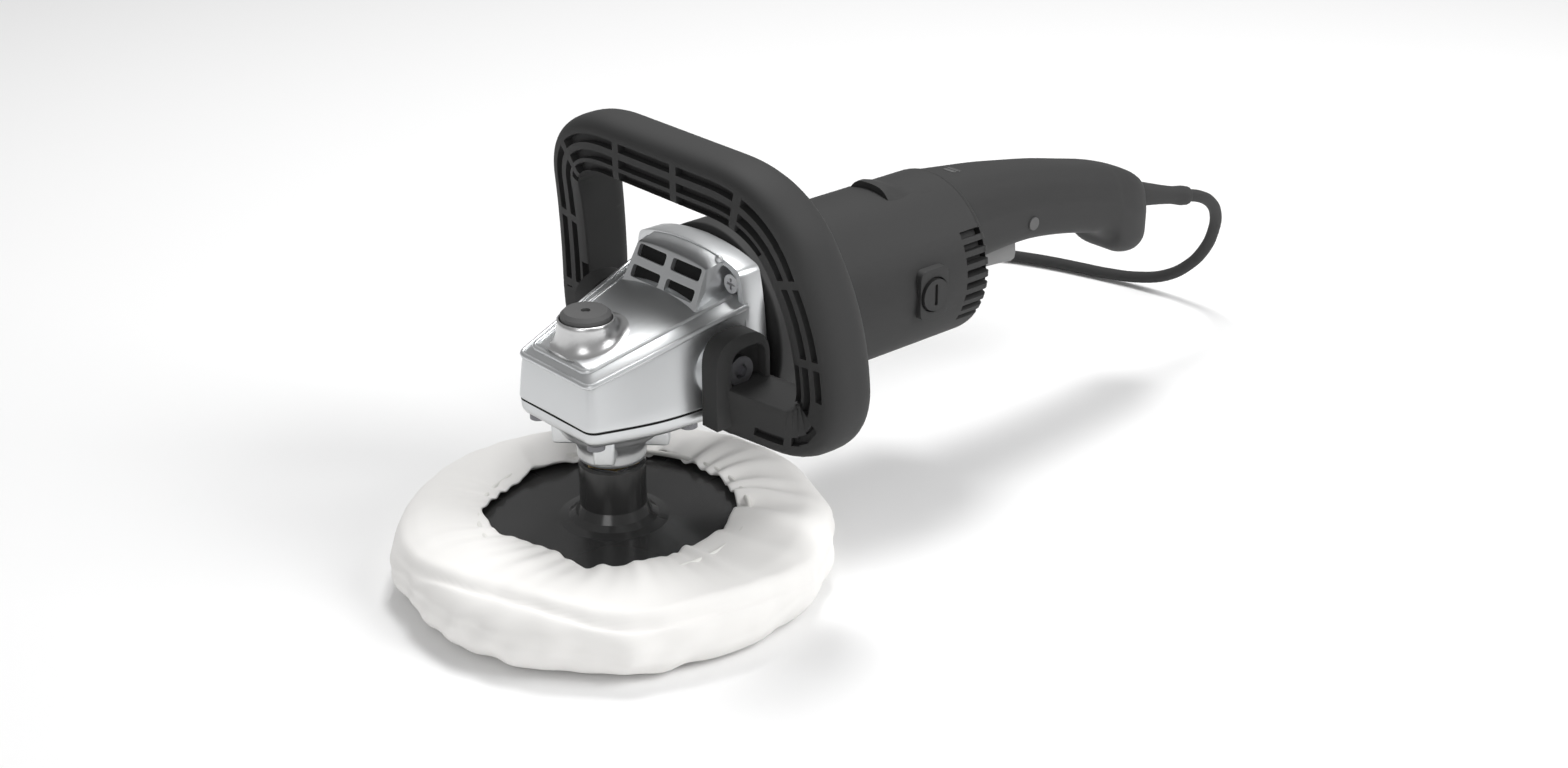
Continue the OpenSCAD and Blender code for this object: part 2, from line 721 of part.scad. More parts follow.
module handle_body() {
    s = handle_sections;
    difference() {
        union() for (i = [0:len(s) - 2]) hull() {
            handle_slab(s[i]);
            handle_slab(s[i + 1]);
        }
        hull() {
            translate([-1, 0, 0]) handle_slab(s[0], shell_wall);
            handle_slab(s[2], shell_wall);
        }
        hull() {
            handle_slab(s[2], shell_wall);
            handle_slab(s[3], shell_wall);
        }
        translate([-1, 0, 0]) handle_front_cut();
        // trigger opening
        translate([-243, -trigger_half_w - gap, 75]) cube([42, 2 * (trigger_half_w + gap), 24]);
        // seat of the speed dial
        translate([dial_at[0], 0, dial_at[1]]) rotate([90, 0, 0])
            cylinder(h = 8, r = dial_d / 2 + 0.6, center = true);
        // cord channel
        translate([relief_from[0], 0, relief_from[1]]) rotate([0, -90 - relief_tilt, 0]) {
            translate([0, 0, -40]) cylinder(h = 60, r = cord_r + 0.4);
            translate([0, 0, -12]) cylinder(h = 40, r = 6.05);
        }
    }
}

// Opens the front of the cavity towards the barrel
module handle_front_cut() {
    translate([-194, -15, 96]) cube([8, 30, 32]);
}

// One half shell with its posts for the screws and for the trigger pin
module handle_half(side) {
    post_r = 3.8;
    post_y = 16.5;
    difference() {
        union() {
            intersection() {
                handle_body();
                translate([-360, side > 0 ? 0.05 : -40.05, 50]) cube([200, 40, 120]);
            }
            for (p = handle_screw_at) along_y(side * 0.05, side * post_y, post_r, p[0], p[1]);
            along_y(side * (trigger_half_w + 0.5), side * post_y, post_r, trigger_pivot[0], trigger_pivot[1]);
            // ribs that hold the switch and, on the left, the speed board
            translate([-222, side > 0 ? switch_half_w : -17.6, 106]) cube([4, 17.6 - switch_half_w, 10]);
            if (side > 0) translate([dial_at[0] - 6, 7.6, 121]) cube([3, 9.6, 5]);
        }
        for (p = handle_screw_at) {
            if (side < 0) along_y(-14, -30, 3.2, p[0], p[1]);
            along_y(-side, side * 14.1, 1.6, p[0], p[1]);
        }
        along_y(0, side * 12, 1.55, trigger_pivot[0], trigger_pivot[1]);
        if (side > 0) along_y(10, 30, lock_on_r + gap, lock_on_at[0], lock_on_at[1]);
    }
}

module handle_shell_left() {
    color("#1c1c1c") handle_half(1);
}

module handle_shell_right() {
    color("#1c1c1c") handle_half(-1);
}

module handle_screws() {
    color("dimgray") for (p = handle_screw_at)
        translate([p[0], -14, p[1]]) rotate([90, 0, 0]) screw(3, 1.8, 1.5, 26);
}

module switch_body() {
    color("#2b2b2b") difference() {
        translate([-252, -switch_half_w, switch_z]) cube([38, 2 * switch_half_w, 17]);
        along_y(5.5, 12, lock_on_r + gap, lock_on_at[0], lock_on_at[1]);
    }
}

module trigger() {
    color("#4a4a4a") difference() {
        union() {
            translate([0, trigger_half_w, 0]) rotate([90, 0, 0]) linear_extrude(2 * trigger_half_w)
                polygon([
                    [-206, 96], [-206, 89], [-212, 86.6], [-222, 86], [-232, 85.2], [-238, 84.4], [-240.6, 85.4],
                    [-241.2, 88], [-240.4, 98.4], [-212, 98.4]
                ]);
            along_y(-trigger_half_w, trigger_half_w, 3.2, trigger_pivot[0], trigger_pivot[1]);
        }
        along_y(-10, 10, 1.5 + fit, trigger_pivot[0], trigger_pivot[1]);
        translate([trigger_spring_x, 0, trigger_seat_z]) cylinder(h = 5, r = 3.2);
    }
}

module trigger_pin() {
    color("silver") along_y(-11.5, 11.5, 1.5, trigger_pivot[0], trigger_pivot[1]);
}

module trigger_spring() {
    color("silver") translate([trigger_spring_x, 0, trigger_seat_z]) coil_spring(2.4, 0.35, switch_z - trigger_seat_z, 4);
}

module lock_on_button() {
    color("#3c3c3c") union() {
        along_y(9.5, 18.1 + lock_on_travel, lock_on_r, lock_on_at[0], lock_on_at[1]);
        along_y(12.5, 14, lock_on_r + 1.4, lock_on_at[0], lock_on_at[1]);
    }
}

module speed_dial() {
    color("#303030") translate([dial_at[0], 0, dial_at[1]]) rotate([90, 0, 0]) difference() {
        cylinder(h = 6.4, r = dial_d / 2, center = true);
        for (a = [0:15:345]) rotate([0, 0, a])
            translate([dial_d / 2 + 0.2, 0, 0]) cylinder(h = 8, r = 0.7, center = true, $fn = 16);
        cylinder(h = 10, r = dial_bore_r, center = true);
    }
}

module speed_control() {
    color("darkgreen") union() {
        along_y(-5, 7, dial_bore_r - fit, dial_at[0], dial_at[1]);
        translate([dial_at[0] - 10, 6, dial_at[1] - 9]) cube([17, 1.6, 13]);
    }
}

module cord_clamp() {
    color("#222222") difference() {
        translate([clamp_x, -6, 90.6]) cube([12, 12, 8]);
        translate([clamp_x - 2, 0, 99.6]) rotate([0, 90, 0]) cylinder(h = 20, r = cord_r);
    }
}

module strain_relief() {
    color("#151515") translate([relief_from[0], 0, relief_from[1]]) rotate([0, -90 - relief_tilt, 0])
        difference() {
            rotate_extrude() polygon([
                [0, -10], [6, -10], [6, 6], [5.6, 8], [4.4, 24], [4.4, 28], [5.4, 31], [5.4, 36], [4.6, 38],
                [0, relief_len]
            ]);
            translate([0, 0, -12]) cylinder(h = 60, r = cord_r + eps);
        }
}

// ---------- loop handle ----------

module loop_foot(side) {
    arch_r = 14.5;
    along_y(side * foot_y[0], side * foot_y[1], arch_r, -33, foot_z[1] - arch_r);
    translate([foot_x[1], side > 0 ? foot_y[0] : -foot_y[1], foot_z[0]])
        cube([foot_x[0] - foot_x[1], foot_y[1] - foot_y[0], foot_z[1] - arch_r - foot_z[0]]);
}

// Bolt hole with its counterbore, and the peg hole
module loop_foot_holes(side) {
    along_y(side * 30, side * 60, 4.1, bolt_at[0], bolt_at[1]);
    along_y(side * 42.5, side * 70, 7.4, bolt_at[0], bolt_at[1]);
    along_y(side * 30, side * 60, 2.4, peg_at[0], peg_at[1]);
}

module loop_handle() {
    p = loop_points;
    half = concat(
        [p[0]],
        corner_curve(p[0], p[1], p[2], loop_round[0], corner_steps),
        corner_curve(p[1], p[2], p[3], loop_round[1], 4),
        corner_curve(p[2], p[3], p[4], loop_round[2], corner_steps),
        [p[4]]
    );
    n = len(half);
    whole = concat(
        [for (i = [n - 1:-1:1]) [half[i][0], -half[i][1], half[i][2]]],
        half
    );
    color("#1a1a1a") difference() {
        union() {
            sweep(whole, round_section(loop_depth / 2, loop_width / 2, 7, 5), [1, 0, 0]);
            for (s = [-1, 1]) loop_foot(s);
        }
        // the arms stop at the gear head's sides
        translate([-120, -foot_y[0], 40]) cube([160, 2 * foot_y[0], 90]);
        for (s = [-1, 1]) loop_foot_holes(s);
    }
}

module handle_bolts() {
    color("dimgray") for (s = [-1, 1]) difference() {
        union() {
            along_y(s * 25, s * 43, 3.4, bolt_at[0], bolt_at[1]);
            along_y(s * 42.5, s * 47, 6.5, bolt_at[0], bolt_at[1]);
        }
        translate([bolt_at[0], s * 47, bolt_at[1]]) rotate([90, 0, 0])
            cylinder(h = 5, r = 3 / cos(30), $fn = 6, center = true);
    }
}

// ---------- cord ----------

module cord_run() {
    color("#141414") union() {
        sweep(cord_route, circle_section(cord_r, 10), [1, 0, 0.3]);
        sweep(tail_route, circle_section(cord_r, 10), [0, 1, 0]);
    }
}

module cord_coil() {
    color("#141414") translate([coil_at[0], coil_at[1], 0]) rotate_extrude() polygon([
        [coil_r[0], 2], [coil_r[0] + 2, 0], [coil_r[1] - 2, 0], [coil_r[1], 2], [coil_r[1], 8],
        [coil_r[1] - 5, coil_h], [coil_r[0] + 5, coil_h], [coil_r[0], 8]
    ]);
}

module coil_tie() {
    color("#3a3a3a") translate([coil_at[0], coil_at[1], 0]) rotate([0, 0, 60]) difference() {
        translate([coil_r[0] - 1.6, -2.5, 0]) cube([coil_r[1] - coil_r[0] + 3.2, 5, coil_h + 1.4]);
        translate([coil_r[0] - 0.1, -5, -1]) cube([coil_r[1] - coil_r[0] + 0.2, 10, coil_h + 1]);
    }
}

module plug_body() {
    color("#151515") translate(plug_at) rotate([0, 90, 0]) difference() {
        union() {
            rotate_extrude() polygon([
                [0, 0], [5, 0], [6, 3], [8, 12], [16, 22], [17.5, 26], [17.5, 44], [16.5, 45], [0, 45]
            ]);
        }
        for (s = [-1, 1]) translate([0, s * plug_pin_gap / 2, 30]) cylinder(h = 30, r = plug_root_r);
    }
}

module plug_pins() {
    color("gold") translate(plug_at) rotate([0, 90, 0]) for (s = [-1, 1])
        translate([0, s * plug_pin_gap / 2, 30]) {
            cylinder(h = 15, r = plug_root_r);
            cylinder(h = 15 + plug_pin_len, r = plug_pin_r);
        }
}

bonnet();
bonnet_drawstring();
foam_layer();
backing_pad();
hub_insert();
spindle();
ring_gear();
spindle_circlip();
lower_bearing();
upper_bush();
dust_seal();
bearing_cover();
cover_gasket();
cover_screws();
gear_housing();
flange_screws();
lock_button();
lock_spring();
pinion_gear();
armature_shaft();
front_bearing();
bearing_retainer();
air_baffle();
cooling_fan();
armature_core();
armature_windings();
commutator();
rear_bearing();
stator_core();
field_coils();
motor_housing();
brush_holders();
carbon_brushes();
brush_caps();
handle_shell_left();
handle_shell_right();
handle_screws();
switch_body();
trigger();
trigger_pin();
trigger_spring();
lock_on_button();
speed_dial();
speed_control();
cord_clamp();
strain_relief();
loop_handle();
handle_bolts();
cord_run();
cord_coil();
coil_tie();
plug_body();
plug_pins();
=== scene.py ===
"""Looks of a corded rotary polisher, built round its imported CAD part.

The row frame is in metres: +X forward, +Y to the tool's left, +Z up, with the origin under the spindle.
Lengths in this file are in millimetres unless a name ends in _m.
"""

import json
import logging
import math
from dataclasses import dataclass, field
from enum import Enum
from typing import Callable, Sequence

import bmesh
import bpy
import numpy as np
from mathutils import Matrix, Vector


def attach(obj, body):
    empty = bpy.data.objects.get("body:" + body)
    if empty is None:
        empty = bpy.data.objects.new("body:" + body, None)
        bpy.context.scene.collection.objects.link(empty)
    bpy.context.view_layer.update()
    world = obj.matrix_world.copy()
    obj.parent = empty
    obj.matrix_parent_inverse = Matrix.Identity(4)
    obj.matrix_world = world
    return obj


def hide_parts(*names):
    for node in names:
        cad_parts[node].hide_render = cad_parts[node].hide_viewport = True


MM = 0.001
AXIS_Z = 101.0
TAU = 2 * math.pi
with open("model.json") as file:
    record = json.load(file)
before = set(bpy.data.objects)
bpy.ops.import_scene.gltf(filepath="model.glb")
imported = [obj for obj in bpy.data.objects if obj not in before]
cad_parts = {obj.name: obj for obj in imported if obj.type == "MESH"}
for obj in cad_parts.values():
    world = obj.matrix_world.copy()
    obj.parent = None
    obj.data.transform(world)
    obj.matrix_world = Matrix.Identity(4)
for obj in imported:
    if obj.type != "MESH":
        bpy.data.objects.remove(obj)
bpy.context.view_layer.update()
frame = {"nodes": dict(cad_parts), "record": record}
log = logging.getLogger("polisher")


# ---------------------------------------------------------------- curves


def rounded(control: Sequence, reach: Sequence[float], steps: int = 4, fill: int = 0) -> np.ndarray:
    """Rounds the inner corners of a chain of points, each with a quadratic arc.

    Args:
        control: Points of the chain, of shape (k, ..., dims), so that each may be a whole row of points.
        reach: How far each inner corner's arc starts from the corner; k - 2 values.
        steps: Segments in each arc.
        fill: Extra points on each straight stretch.

    Returns:
        The points, stacked along the first axis.
    """
    c = np.asarray(control, float)
    out = [c[0]]
    for i in range(1, len(c) - 1):
        a, b, d = c[i - 1] - c[i], c[i], c[i + 1] - c[i]
        la = np.maximum(np.linalg.norm(a, axis=-1, keepdims=True), 1e-9)
        ld = np.maximum(np.linalg.norm(d, axis=-1, keepdims=True), 1e-9)
        s = b + a / la * np.minimum(reach[i - 1], 0.48 * la)
        e = b + d / ld * np.minimum(reach[i - 1], 0.48 * ld)
        out += [out[-1] + (s - out[-1]) * (j + 1) / (fill + 1) for j in range(fill)]
        for t in np.linspace(0, 1, steps + 1):
            out.append((1 - t) ** 2 * s + 2 * t * (1 - t) * b + t * t * e)
    out += [out[-1] + (c[-1] - out[-1]) * (j + 1) / (fill + 1) for j in range(fill)]
    out.append(c[-1])
    return np.array(out)


def frames(path: np.ndarray, side: Sequence[float]) -> tuple[np.ndarray, np.ndarray, np.ndarray]:
    """Finds the directions along and across a path.

    Args:
        path: Points of the path.
        side: Direction that the first cross direction keeps to.

    Returns:
        Tangents, first cross directions and second cross directions.
    """
    t = np.gradient(path, axis=0)
    t /= np.linalg.norm(t, axis=1)[:, None]
    s = np.asarray(side, float)
    u = s - (t @ s)[:, None] * t
    u /= np.linalg.norm(u, axis=1)[:, None]
    return t, u, np.cross(t, u)


def resample(points: np.ndarray, step: float) -> np.ndarray:
    """Spaces points evenly along a smooth curve.

    Args:
        points: Points that the curve goes through.
        step: Distance between the new points.

    Returns:
        The new points.
    """
    p = np.asarray(points, float)
    knots = np.concatenate([[0], np.cumsum(np.linalg.norm(np.diff(p, axis=0), axis=1))])
    m = np.gradient(p, knots, axis=0)
    s = np.linspace(0, knots[-1], max(3, int(knots[-1] / step)))
    k = np.clip(np.searchsorted(knots, s, "right") - 1, 0, len(knots) - 2)
    h = (knots[k + 1] - knots[k])[:, None]
    t = (s - knots[k])[:, None] / h
    return (
        (2 * t**3 - 3 * t**2 + 1) * p[k]
        + (t**3 - 2 * t**2 + t) * h * m[k]
        + (-2 * t**3 + 3 * t**2) * p[k + 1]
        + (t**3 - t**2) * h * m[k + 1]
    )


def smoothstep(a: float, b: float, x: np.ndarray) -> np.ndarray:
    """Rises in an S shape.

    Args:
        a: Where the rise starts.
        b: Where it ends.
        x: Where it's wanted.

    Returns:
        0 before a, 1 after b, and the rise between.
    """
    t = np.clip((np.asarray(x, float) - a) / (b - a), 0, 1)
    return t * t * (3 - 2 * t)


def waves(theta: np.ndarray, seed: int, low: int, high: int, fall: float = 1.0) -> np.ndarray:
    """Sums cosines of whole frequencies, with random sizes and phases, into a smooth closed wave.

    Args:
        theta: Angles round the shape.
        seed: Seed of the random draws.
        low: Lowest frequency.
        high: Highest frequency.
        fall: How fast the size falls as the frequency rises.

    Returns:
        The wave at each angle, about -1 to 1.
    """
    rng = np.random.default_rng(seed)
    total = np.zeros_like(theta)
    norm = 0.0
    for n in range(low, high + 1):
        size = rng.normal() / n**fall
        total += size * np.cos(n * theta + rng.uniform(0, TAU))
        norm += size * size / 2
    return total / (2.2 * math.sqrt(norm))


# ---------------------------------------------------------------- finishes


class Grain(Enum):
    """The small texture of a finish."""

    MOULDED = "moulded"
    CAST = "cast"
    PILE = "pile"
    SMOOTH = "smooth"


BROAD_SCALE = {Grain.CAST: 60.0, Grain.MOULDED: 35.0, Grain.PILE: 90.0}
FINE_SCALE = {Grain.CAST: 900.0, Grain.MOULDED: 1800.0, Grain.PILE: 700.0}


@dataclass(frozen=True)
class Finish:
    """One surface finish.

    Args:
        name: Material name.
        color: Linear base colour.
        roughness: Middle roughness.
        metallic: 0 or 1.
        grain: Kind of small texture.
        bump: Height of the texture in millimetres.
        vary: How far roughness wanders either way.
        sheen: Weight of the fabric sheen.
        coat: Weight of a clear coat.
        specular: Strength of the plain reflection.
    """

    name: str
    color: tuple[float, float, float]
    roughness: float
    metallic: float = 0.0
    grain: Grain = Grain.SMOOTH
    bump: float = 0.0
    vary: float = 0.05
    sheen: float = 0.0
    coat: float = 0.0
    specular: float = 0.5

    def material(self) -> bpy.types.Material:
        """Builds the material, or finds it when it's already built.

        Returns:
            The material.
        """
        found = bpy.data.materials.get(self.name)
        if found:
            return found
        mat = bpy.data.materials.new(self.name)
        mat.use_nodes = True
        nodes, links = mat.node_tree.nodes, mat.node_tree.links
        shader = nodes["Principled BSDF"]
        shader.inputs["Base Color"].default_value = (*self.color, 1)
        shader.inputs["Metallic"].default_value = self.metallic
        shader.inputs["Roughness"].default_value = self.roughness
        shader.inputs["Coat Weight"].default_value = self.coat
        shader.inputs["Sheen Weight"].default_value = self.sheen
        shader.inputs["Specular IOR Level"].default_value = self.specular
        if self.grain is Grain.SMOOTH:
            return mat
        where = nodes.new("ShaderNodeTexCoord")
        broad = self._noise(nodes, links, where, BROAD_SCALE[self.grain], 3)
        spread = nodes.new("ShaderNodeMapRange")
        spread.inputs["To Min"].default_value = self.roughness - self.vary
        spread.inputs["To Max"].default_value = self.roughness + self.vary
        links.new(broad, spread.inputs["Value"])
        links.new(spread.outputs["Result"], shader.inputs["Roughness"])
        fine = self._noise(nodes, links, where, FINE_SCALE[self.grain], 2)
        bump = nodes.new("ShaderNodeBump")
        bump.inputs["Strength"].default_value = 1.0
        bump.inputs["Distance"].default_value = self.bump * MM
        links.new(fine, bump.inputs["Height"])
        links.new(bump.outputs["Normal"], shader.inputs["Normal"])
        if self.grain is not Grain.MOULDED:
            tone = nodes.new("ShaderNodeMapRange")
            tone.inputs["To Min"].default_value = 0.92
            tone.inputs["To Max"].default_value = 1.04
            links.new(fine if self.grain is Grain.PILE else broad, tone.inputs["Value"])
            mix = nodes.new("ShaderNodeMix")
            mix.data_type = "RGBA"
            mix.blend_type = "MULTIPLY"
            mix.inputs["Factor"].default_value = 1.0
            mix.inputs[6].default_value = (*self.color, 1)
            links.new(tone.outputs["Result"], mix.inputs[7])
            links.new(mix.outputs[2], shader.inputs["Base Color"])
        return mat

    @staticmethod
    def _noise(
        nodes: bpy.types.Nodes, links: bpy.types.NodeLinks, where: bpy.types.Node, scale: float, detail: float
    ) -> bpy.types.NodeSocket:
        """Adds a noise texture in object coordinates.

        Args:
            nodes: The material's nodes.
            links: The material's links.
            where: Texture coordinate node.
            scale: Noise scale.
            detail: Noise detail.

        Returns:
            The noise's value socket.
        """
        noise = nodes.new("ShaderNodeTexNoise")
        noise.inputs["Scale"].default_value = scale
        noise.inputs["Detail"].default_value = detail
        links.new(where.outputs["Object"], noise.inputs["Vector"])
        return noise.outputs["Fac"]


CAST = Finish("cast_aluminium", (0.60, 0.60, 0.60), 0.33, 1.0, Grain.CAST, 0.05, 0.06)
BOSS = Finish("cast_boss", (0.66, 0.66, 0.66), 0.3, 1.0, Grain.CAST, 0.03, 0.05)
BLACK = Finish(
    "black_plastic", (0.0035, 0.0035, 0.0038), 0.44, 0.0, Grain.MOULDED, 0.02, 0.05, specular=0.09
)
# Near-black, rough finish: painted shade inside the air outlets, and also the dark gasket line at the cover
# seam.
SHADE_AND_GASKET_BLACK = Finish("slot_shadow", (0.002, 0.002, 0.002), 0.9)
CHARCOAL = Finish(
    "charcoal_plastic", (0.02, 0.02, 0.021), 0.5, 0.0, Grain.MOULDED, 0.02, 0.04, specular=0.3
)
GREY = Finish("grey_plastic", (0.04, 0.04, 0.042), 0.5, 0.0, Grain.MOULDED, 0.02, 0.04, specular=0.2)
GLOSS = Finish("pad_plastic", (0.002, 0.002, 0.0022), 0.2, 0.0, Grain.MOULDED, 0.005, 0.06, specular=0.12)
FLEECE = Finish("fleece", (0.83, 0.83, 0.83), 0.95, 0.0, Grain.PILE, 0.25, 0.02, 0.4)
TAPE = Finish("cord_tape", (0.72, 0.72, 0.70), 0.9, 0.0, Grain.PILE, 0.1)
FOAM = Finish("foam", (0.04, 0.04, 0.042), 0.95, 0.0, Grain.PILE, 0.2)
STEEL = Finish("machined_steel", (0.55, 0.55, 0.56), 0.28, 1.0)
DARK_STEEL = Finish("dark_steel", (0.05, 0.05, 0.052), 0.45, 1.0)
BRASS = Finish("brass", (0.66, 0.48, 0.2), 0.3, 1.0)
BRONZE = Finish("bronze", (0.5, 0.33, 0.18), 0.45, 1.0)
COPPER = Finish("copper_wire", (0.55, 0.25, 0.12), 0.35, 1.0)
RUBBER = Finish("cord_rubber", (0.005, 0.005, 0.005), 0.5, 0.0, Grain.MOULDED, 0.02, specular=0.12)
LAMINATED = Finish("laminated_steel", (0.2, 0.2, 0.21), 0.5, 1.0)
CARBON = Finish("carbon", (0.02, 0.02, 0.02), 0.7)
BOARD = Finish("board", (0.02, 0.09, 0.04), 0.5)

SLOT_FINISH = {
    "fleece": FLEECE, "cord_tape": TAPE, "foam": FOAM, "pad_plastic": GLOSS, "brass": BRASS,
    "machined_steel": STEEL, "gear_steel": STEEL, "spring_steel": STEEL, "bronze": BRONZE,
    "seal_rubber": RUBBER, "cast_aluminium": CAST, "gasket": SHADE_AND_GASKET_BLACK, "dark_steel": DARK_STEEL,
    "charcoal_plastic": CHARCOAL, "black_plastic": BLACK, "laminated_steel": LAMINATED,
    "copper_wire": COPPER, "carbon": CARBON, "grey_plastic": GREY, "board": BOARD, "cord_rubber": RUBBER,
}


# ---------------------------------------------------------------- meshes


@dataclass
class Shape:
    """A closed surface under construction, in millimetres.

    Args:
        points: Arrays of vertices.
        faces: Faces as tuples of vertex numbers.
        count: How many vertices there are.
    """

    points: list = field(default_factory=list)
    faces: list = field(default_factory=list)
    count: int = 0

    def lattice(self, rows: np.ndarray, wrap_rows: bool = False, wrap_columns: bool = False) -> "Shape":
        """Adds quads over an array of points of shape (rows, columns, 3).

        Args:
            rows: The points.
            wrap_rows: Whether the last row joins the first.
            wrap_columns: Whether the last column joins the first.

        Returns:
            This shape.
        """
        m, n, _ = rows.shape
        base = self.count
        self.points.append(rows.reshape(-1, 3))
        self.count += m * n
        down, across = np.arange(m if wrap_rows else m - 1), np.arange(n if wrap_columns else n - 1)
        i, j = np.meshgrid(down, across, indexing="ij")
        i2, j2 = (i + 1) % m, (j + 1) % n
        quads = np.stack([i * n + j, i2 * n + j, i2 * n + j2, i * n + j2], -1).reshape(-1, 4) + base
        self.faces += [tuple(q) for q in quads.tolist()]
        return self

    def loft(self, loops: np.ndarray) -> "Shape":
        """Adds a tube through closed loops, with both ends closed by fans.

        Args:
            loops: The loops, of shape (loops, points, 3).

        Returns:
            This shape.
        """
        base = self.count
        m, n, _ = loops.shape
        self.lattice(loops, wrap_columns=True)
        for row, flip in ((0, False), (m - 1, True)):
            self.points.append(loops[row].mean(0)[None])
            hub = self.count
            self.count += 1
            for j in range(n):
                a, b = base + row * n + j, base + row * n + (j + 1) % n
                self.faces.append((hub, b, a) if flip else (hub, a, b))
        return self

    def build(self, name: str, finish: Finish, sharp: float = 32.0) -> bpy.types.Object:
        """Makes the object: welds, closes holes, turns faces outward and shades it.

        Args:
            name: Object name.
            finish: Its finish.
            sharp: Edges sharper than this many degrees stay crisp.

        Returns:
            The new object.
        """
        bm = bmesh.new()
        co = np.concatenate(self.points) * MM
        verts = [bm.verts.new(p) for p in co.tolist()]
        for f in self.faces:
            bm.faces.new([verts[v] for v in f])
        bmesh.ops.remove_doubles(bm, verts=bm.verts, dist=2e-6)
        bmesh.ops.dissolve_degenerate(bm, edges=bm.edges, dist=1e-7)
        open_edges = [e for e in bm.edges if e.is_boundary]
        if open_edges:
            filled = bmesh.ops.holes_fill(bm, edges=open_edges, sides=0)["faces"]
            bmesh.ops.triangulate(bm, faces=filled)
        bmesh.ops.recalc_face_normals(bm, faces=bm.faces)
        mesh = bpy.data.meshes.new(name)
        bm.to_mesh(mesh)
        bm.free()
        obj = bpy.data.objects.new(name, mesh)
        bpy.context.scene.collection.objects.link(obj)
        paint(obj, finish, sharp)
        return obj


def paint(obj: bpy.types.Object, finish: Finish, sharp: float = 32.0) -> None:
    """Gives an object its finish and smooth shading with crisp edges.

    Args:
        obj: The object.
        finish: Its finish.
        sharp: Edges sharper than this many degrees stay crisp.
    """
    obj.data.materials.clear()
    obj.data.materials.append(finish.material())
    obj.data.polygons.foreach_set("use_smooth", [True] * len(obj.data.polygons))
    obj.data.set_sharp_from_angle(angle=math.radians(sharp))
    obj.data.update()


def bake(obj: bpy.types.Object) -> bpy.types.Object:
    """Applies an object's modifiers.

    Args:
        obj: The object.

    Returns:
        The object.
    """
    graph = bpy.context.evaluated_depsgraph_get()
    mesh = bpy.data.meshes.new_from_object(obj.evaluated_get(graph))
    old = obj.data
    obj.modifiers.clear()
    obj.data = mesh
    bpy.data.meshes.remove(old)
    return obj


def join(objects: Sequence[bpy.types.Object], name: str) -> bpy.types.Object:
    """Joins objects into one, where each part keeps its material.

    Args:
        objects: The objects.
        name: Name of the joined object.

    Returns:
        The joined object.
    """
    bpy.ops.object.select_all(action="DESELECT")
    for o in objects:
        o.select_set(True)
    bpy.context.view_layer.objects.active = objects[0]
    bpy.ops.object.join()
    objects[0].name = name
    return objects[0]


def carve(obj: bpy.types.Object, cutters: Sequence[bpy.types.Object]) -> bpy.types.Object:
    """Cuts cutters from an object with exact booleans, and removes the cutters.

    Args:
        obj: The object.
        cutters: What is cut away.

    Returns:
        The object.
    """
    for cutter in cutters:
        mod = obj.modifiers.new("cut", "BOOLEAN")
        mod.operation = "DIFFERENCE"
        mod.solver = "EXACT"
        mod.object = cutter
    bake(obj)
    for cutter in cutters:
        bpy.data.objects.remove(cutter)
    return obj


def soften(obj: bpy.types.Object, width: float, finish: Finish, angle: float = 40.0) -> bpy.types.Object:
    """Rounds an object's crisp edges.

    Args:
        obj: The object.
        width: Size of the rounding.
        finish: Its finish.
        angle: Edges sharper than this many degrees are rounded.

    Returns:
        The object.
    """
    mod = obj.modifiers.new("soften", "BEVEL")
    mod.width = width * MM
    mod.segments = 3
    mod.limit_method = "ANGLE"
    mod.angle_limit = math.radians(angle)
    mod.use_clamp_overlap = True
    bake(obj)
    paint(obj, finish, 40.0)
    return obj


def prism_x(outline: np.ndarray, x0: float, x1: float) -> Shape:
    """Draws an outline out along X.

    Args:
        outline: Points (y, z).
        x0: One end.
        x1: The other end.

    Returns:
        The shape.
    """
    flat = np.asarray(outline, float)
    return Shape().loft(np.array([np.column_stack([np.full(len(flat), x), flat]) for x in (x0, x1)]))


def prism_y(outline: np.ndarray, y0: float, y1: float) -> Shape:
    """Draws an outline out along Y.

    Args:
        outline: Points (x, z).
        y0: One end.
        y1: The other end.

    Returns:
        The shape.
    """
    flat = np.asarray(outline, float)
    return Shape().loft(
        np.array([np.column_stack([flat[:, 0], np.full(len(flat), y), flat[:, 1]]) for y in (y0, y1)])
    )


def prism_z(outline: np.ndarray, z0: float, z1: float) -> Shape:
    """Draws an outline out along Z.

    Args:
        outline: Points (x, y).
        z0: One end.
        z1: The other end.

    Returns:
        The shape.
    """
    flat = np.asarray(outline, float)
    return Shape().loft(np.array([np.column_stack([flat, np.full(len(flat), z)]) for z in (z0, z1)]))


def circle(radius: float, a: float = 0.0, b: float = 0.0, n: int = 64) -> np.ndarray:
    """Finds the points of a circle.

    Args:
        radius: Its radius.
        a: First coordinate of its middle.
        b: Second coordinate of its middle.
        n: Number of points.

    Returns:
        The points.
    """
    t = np.arange(n) * TAU / n
    return np.column_stack([a + radius * np.cos(t), b + radius * np.sin(t)])


def slab(half_a: float, half_b: float, radius: float, a: float = 0.0, b: float = 0.0) -> np.ndarray:
    """Finds the points of a rectangle with round corners.

    Args:
        half_a: Half its first size.
        half_b: Half its second size.
        radius: Radius of its corners.
        a: First coordinate of its middle.
        b: Second coordinate of its middle.

    Returns:
        The points.
    """
    out = []
    for q, (sa, sb) in enumerate(((1, 1), (-1, 1), (-1, -1), (1, -1))):
        middle_a, middle_b = a + sa * (half_a - radius), b + sb * (half_b - radius)
        for t in np.linspace(0, math.pi / 2, 5):
            turn = q * math.pi / 2 + t
            out.append((middle_a + radius * math.cos(turn), middle_b + radius * math.sin(turn)))
    return np.array(out)


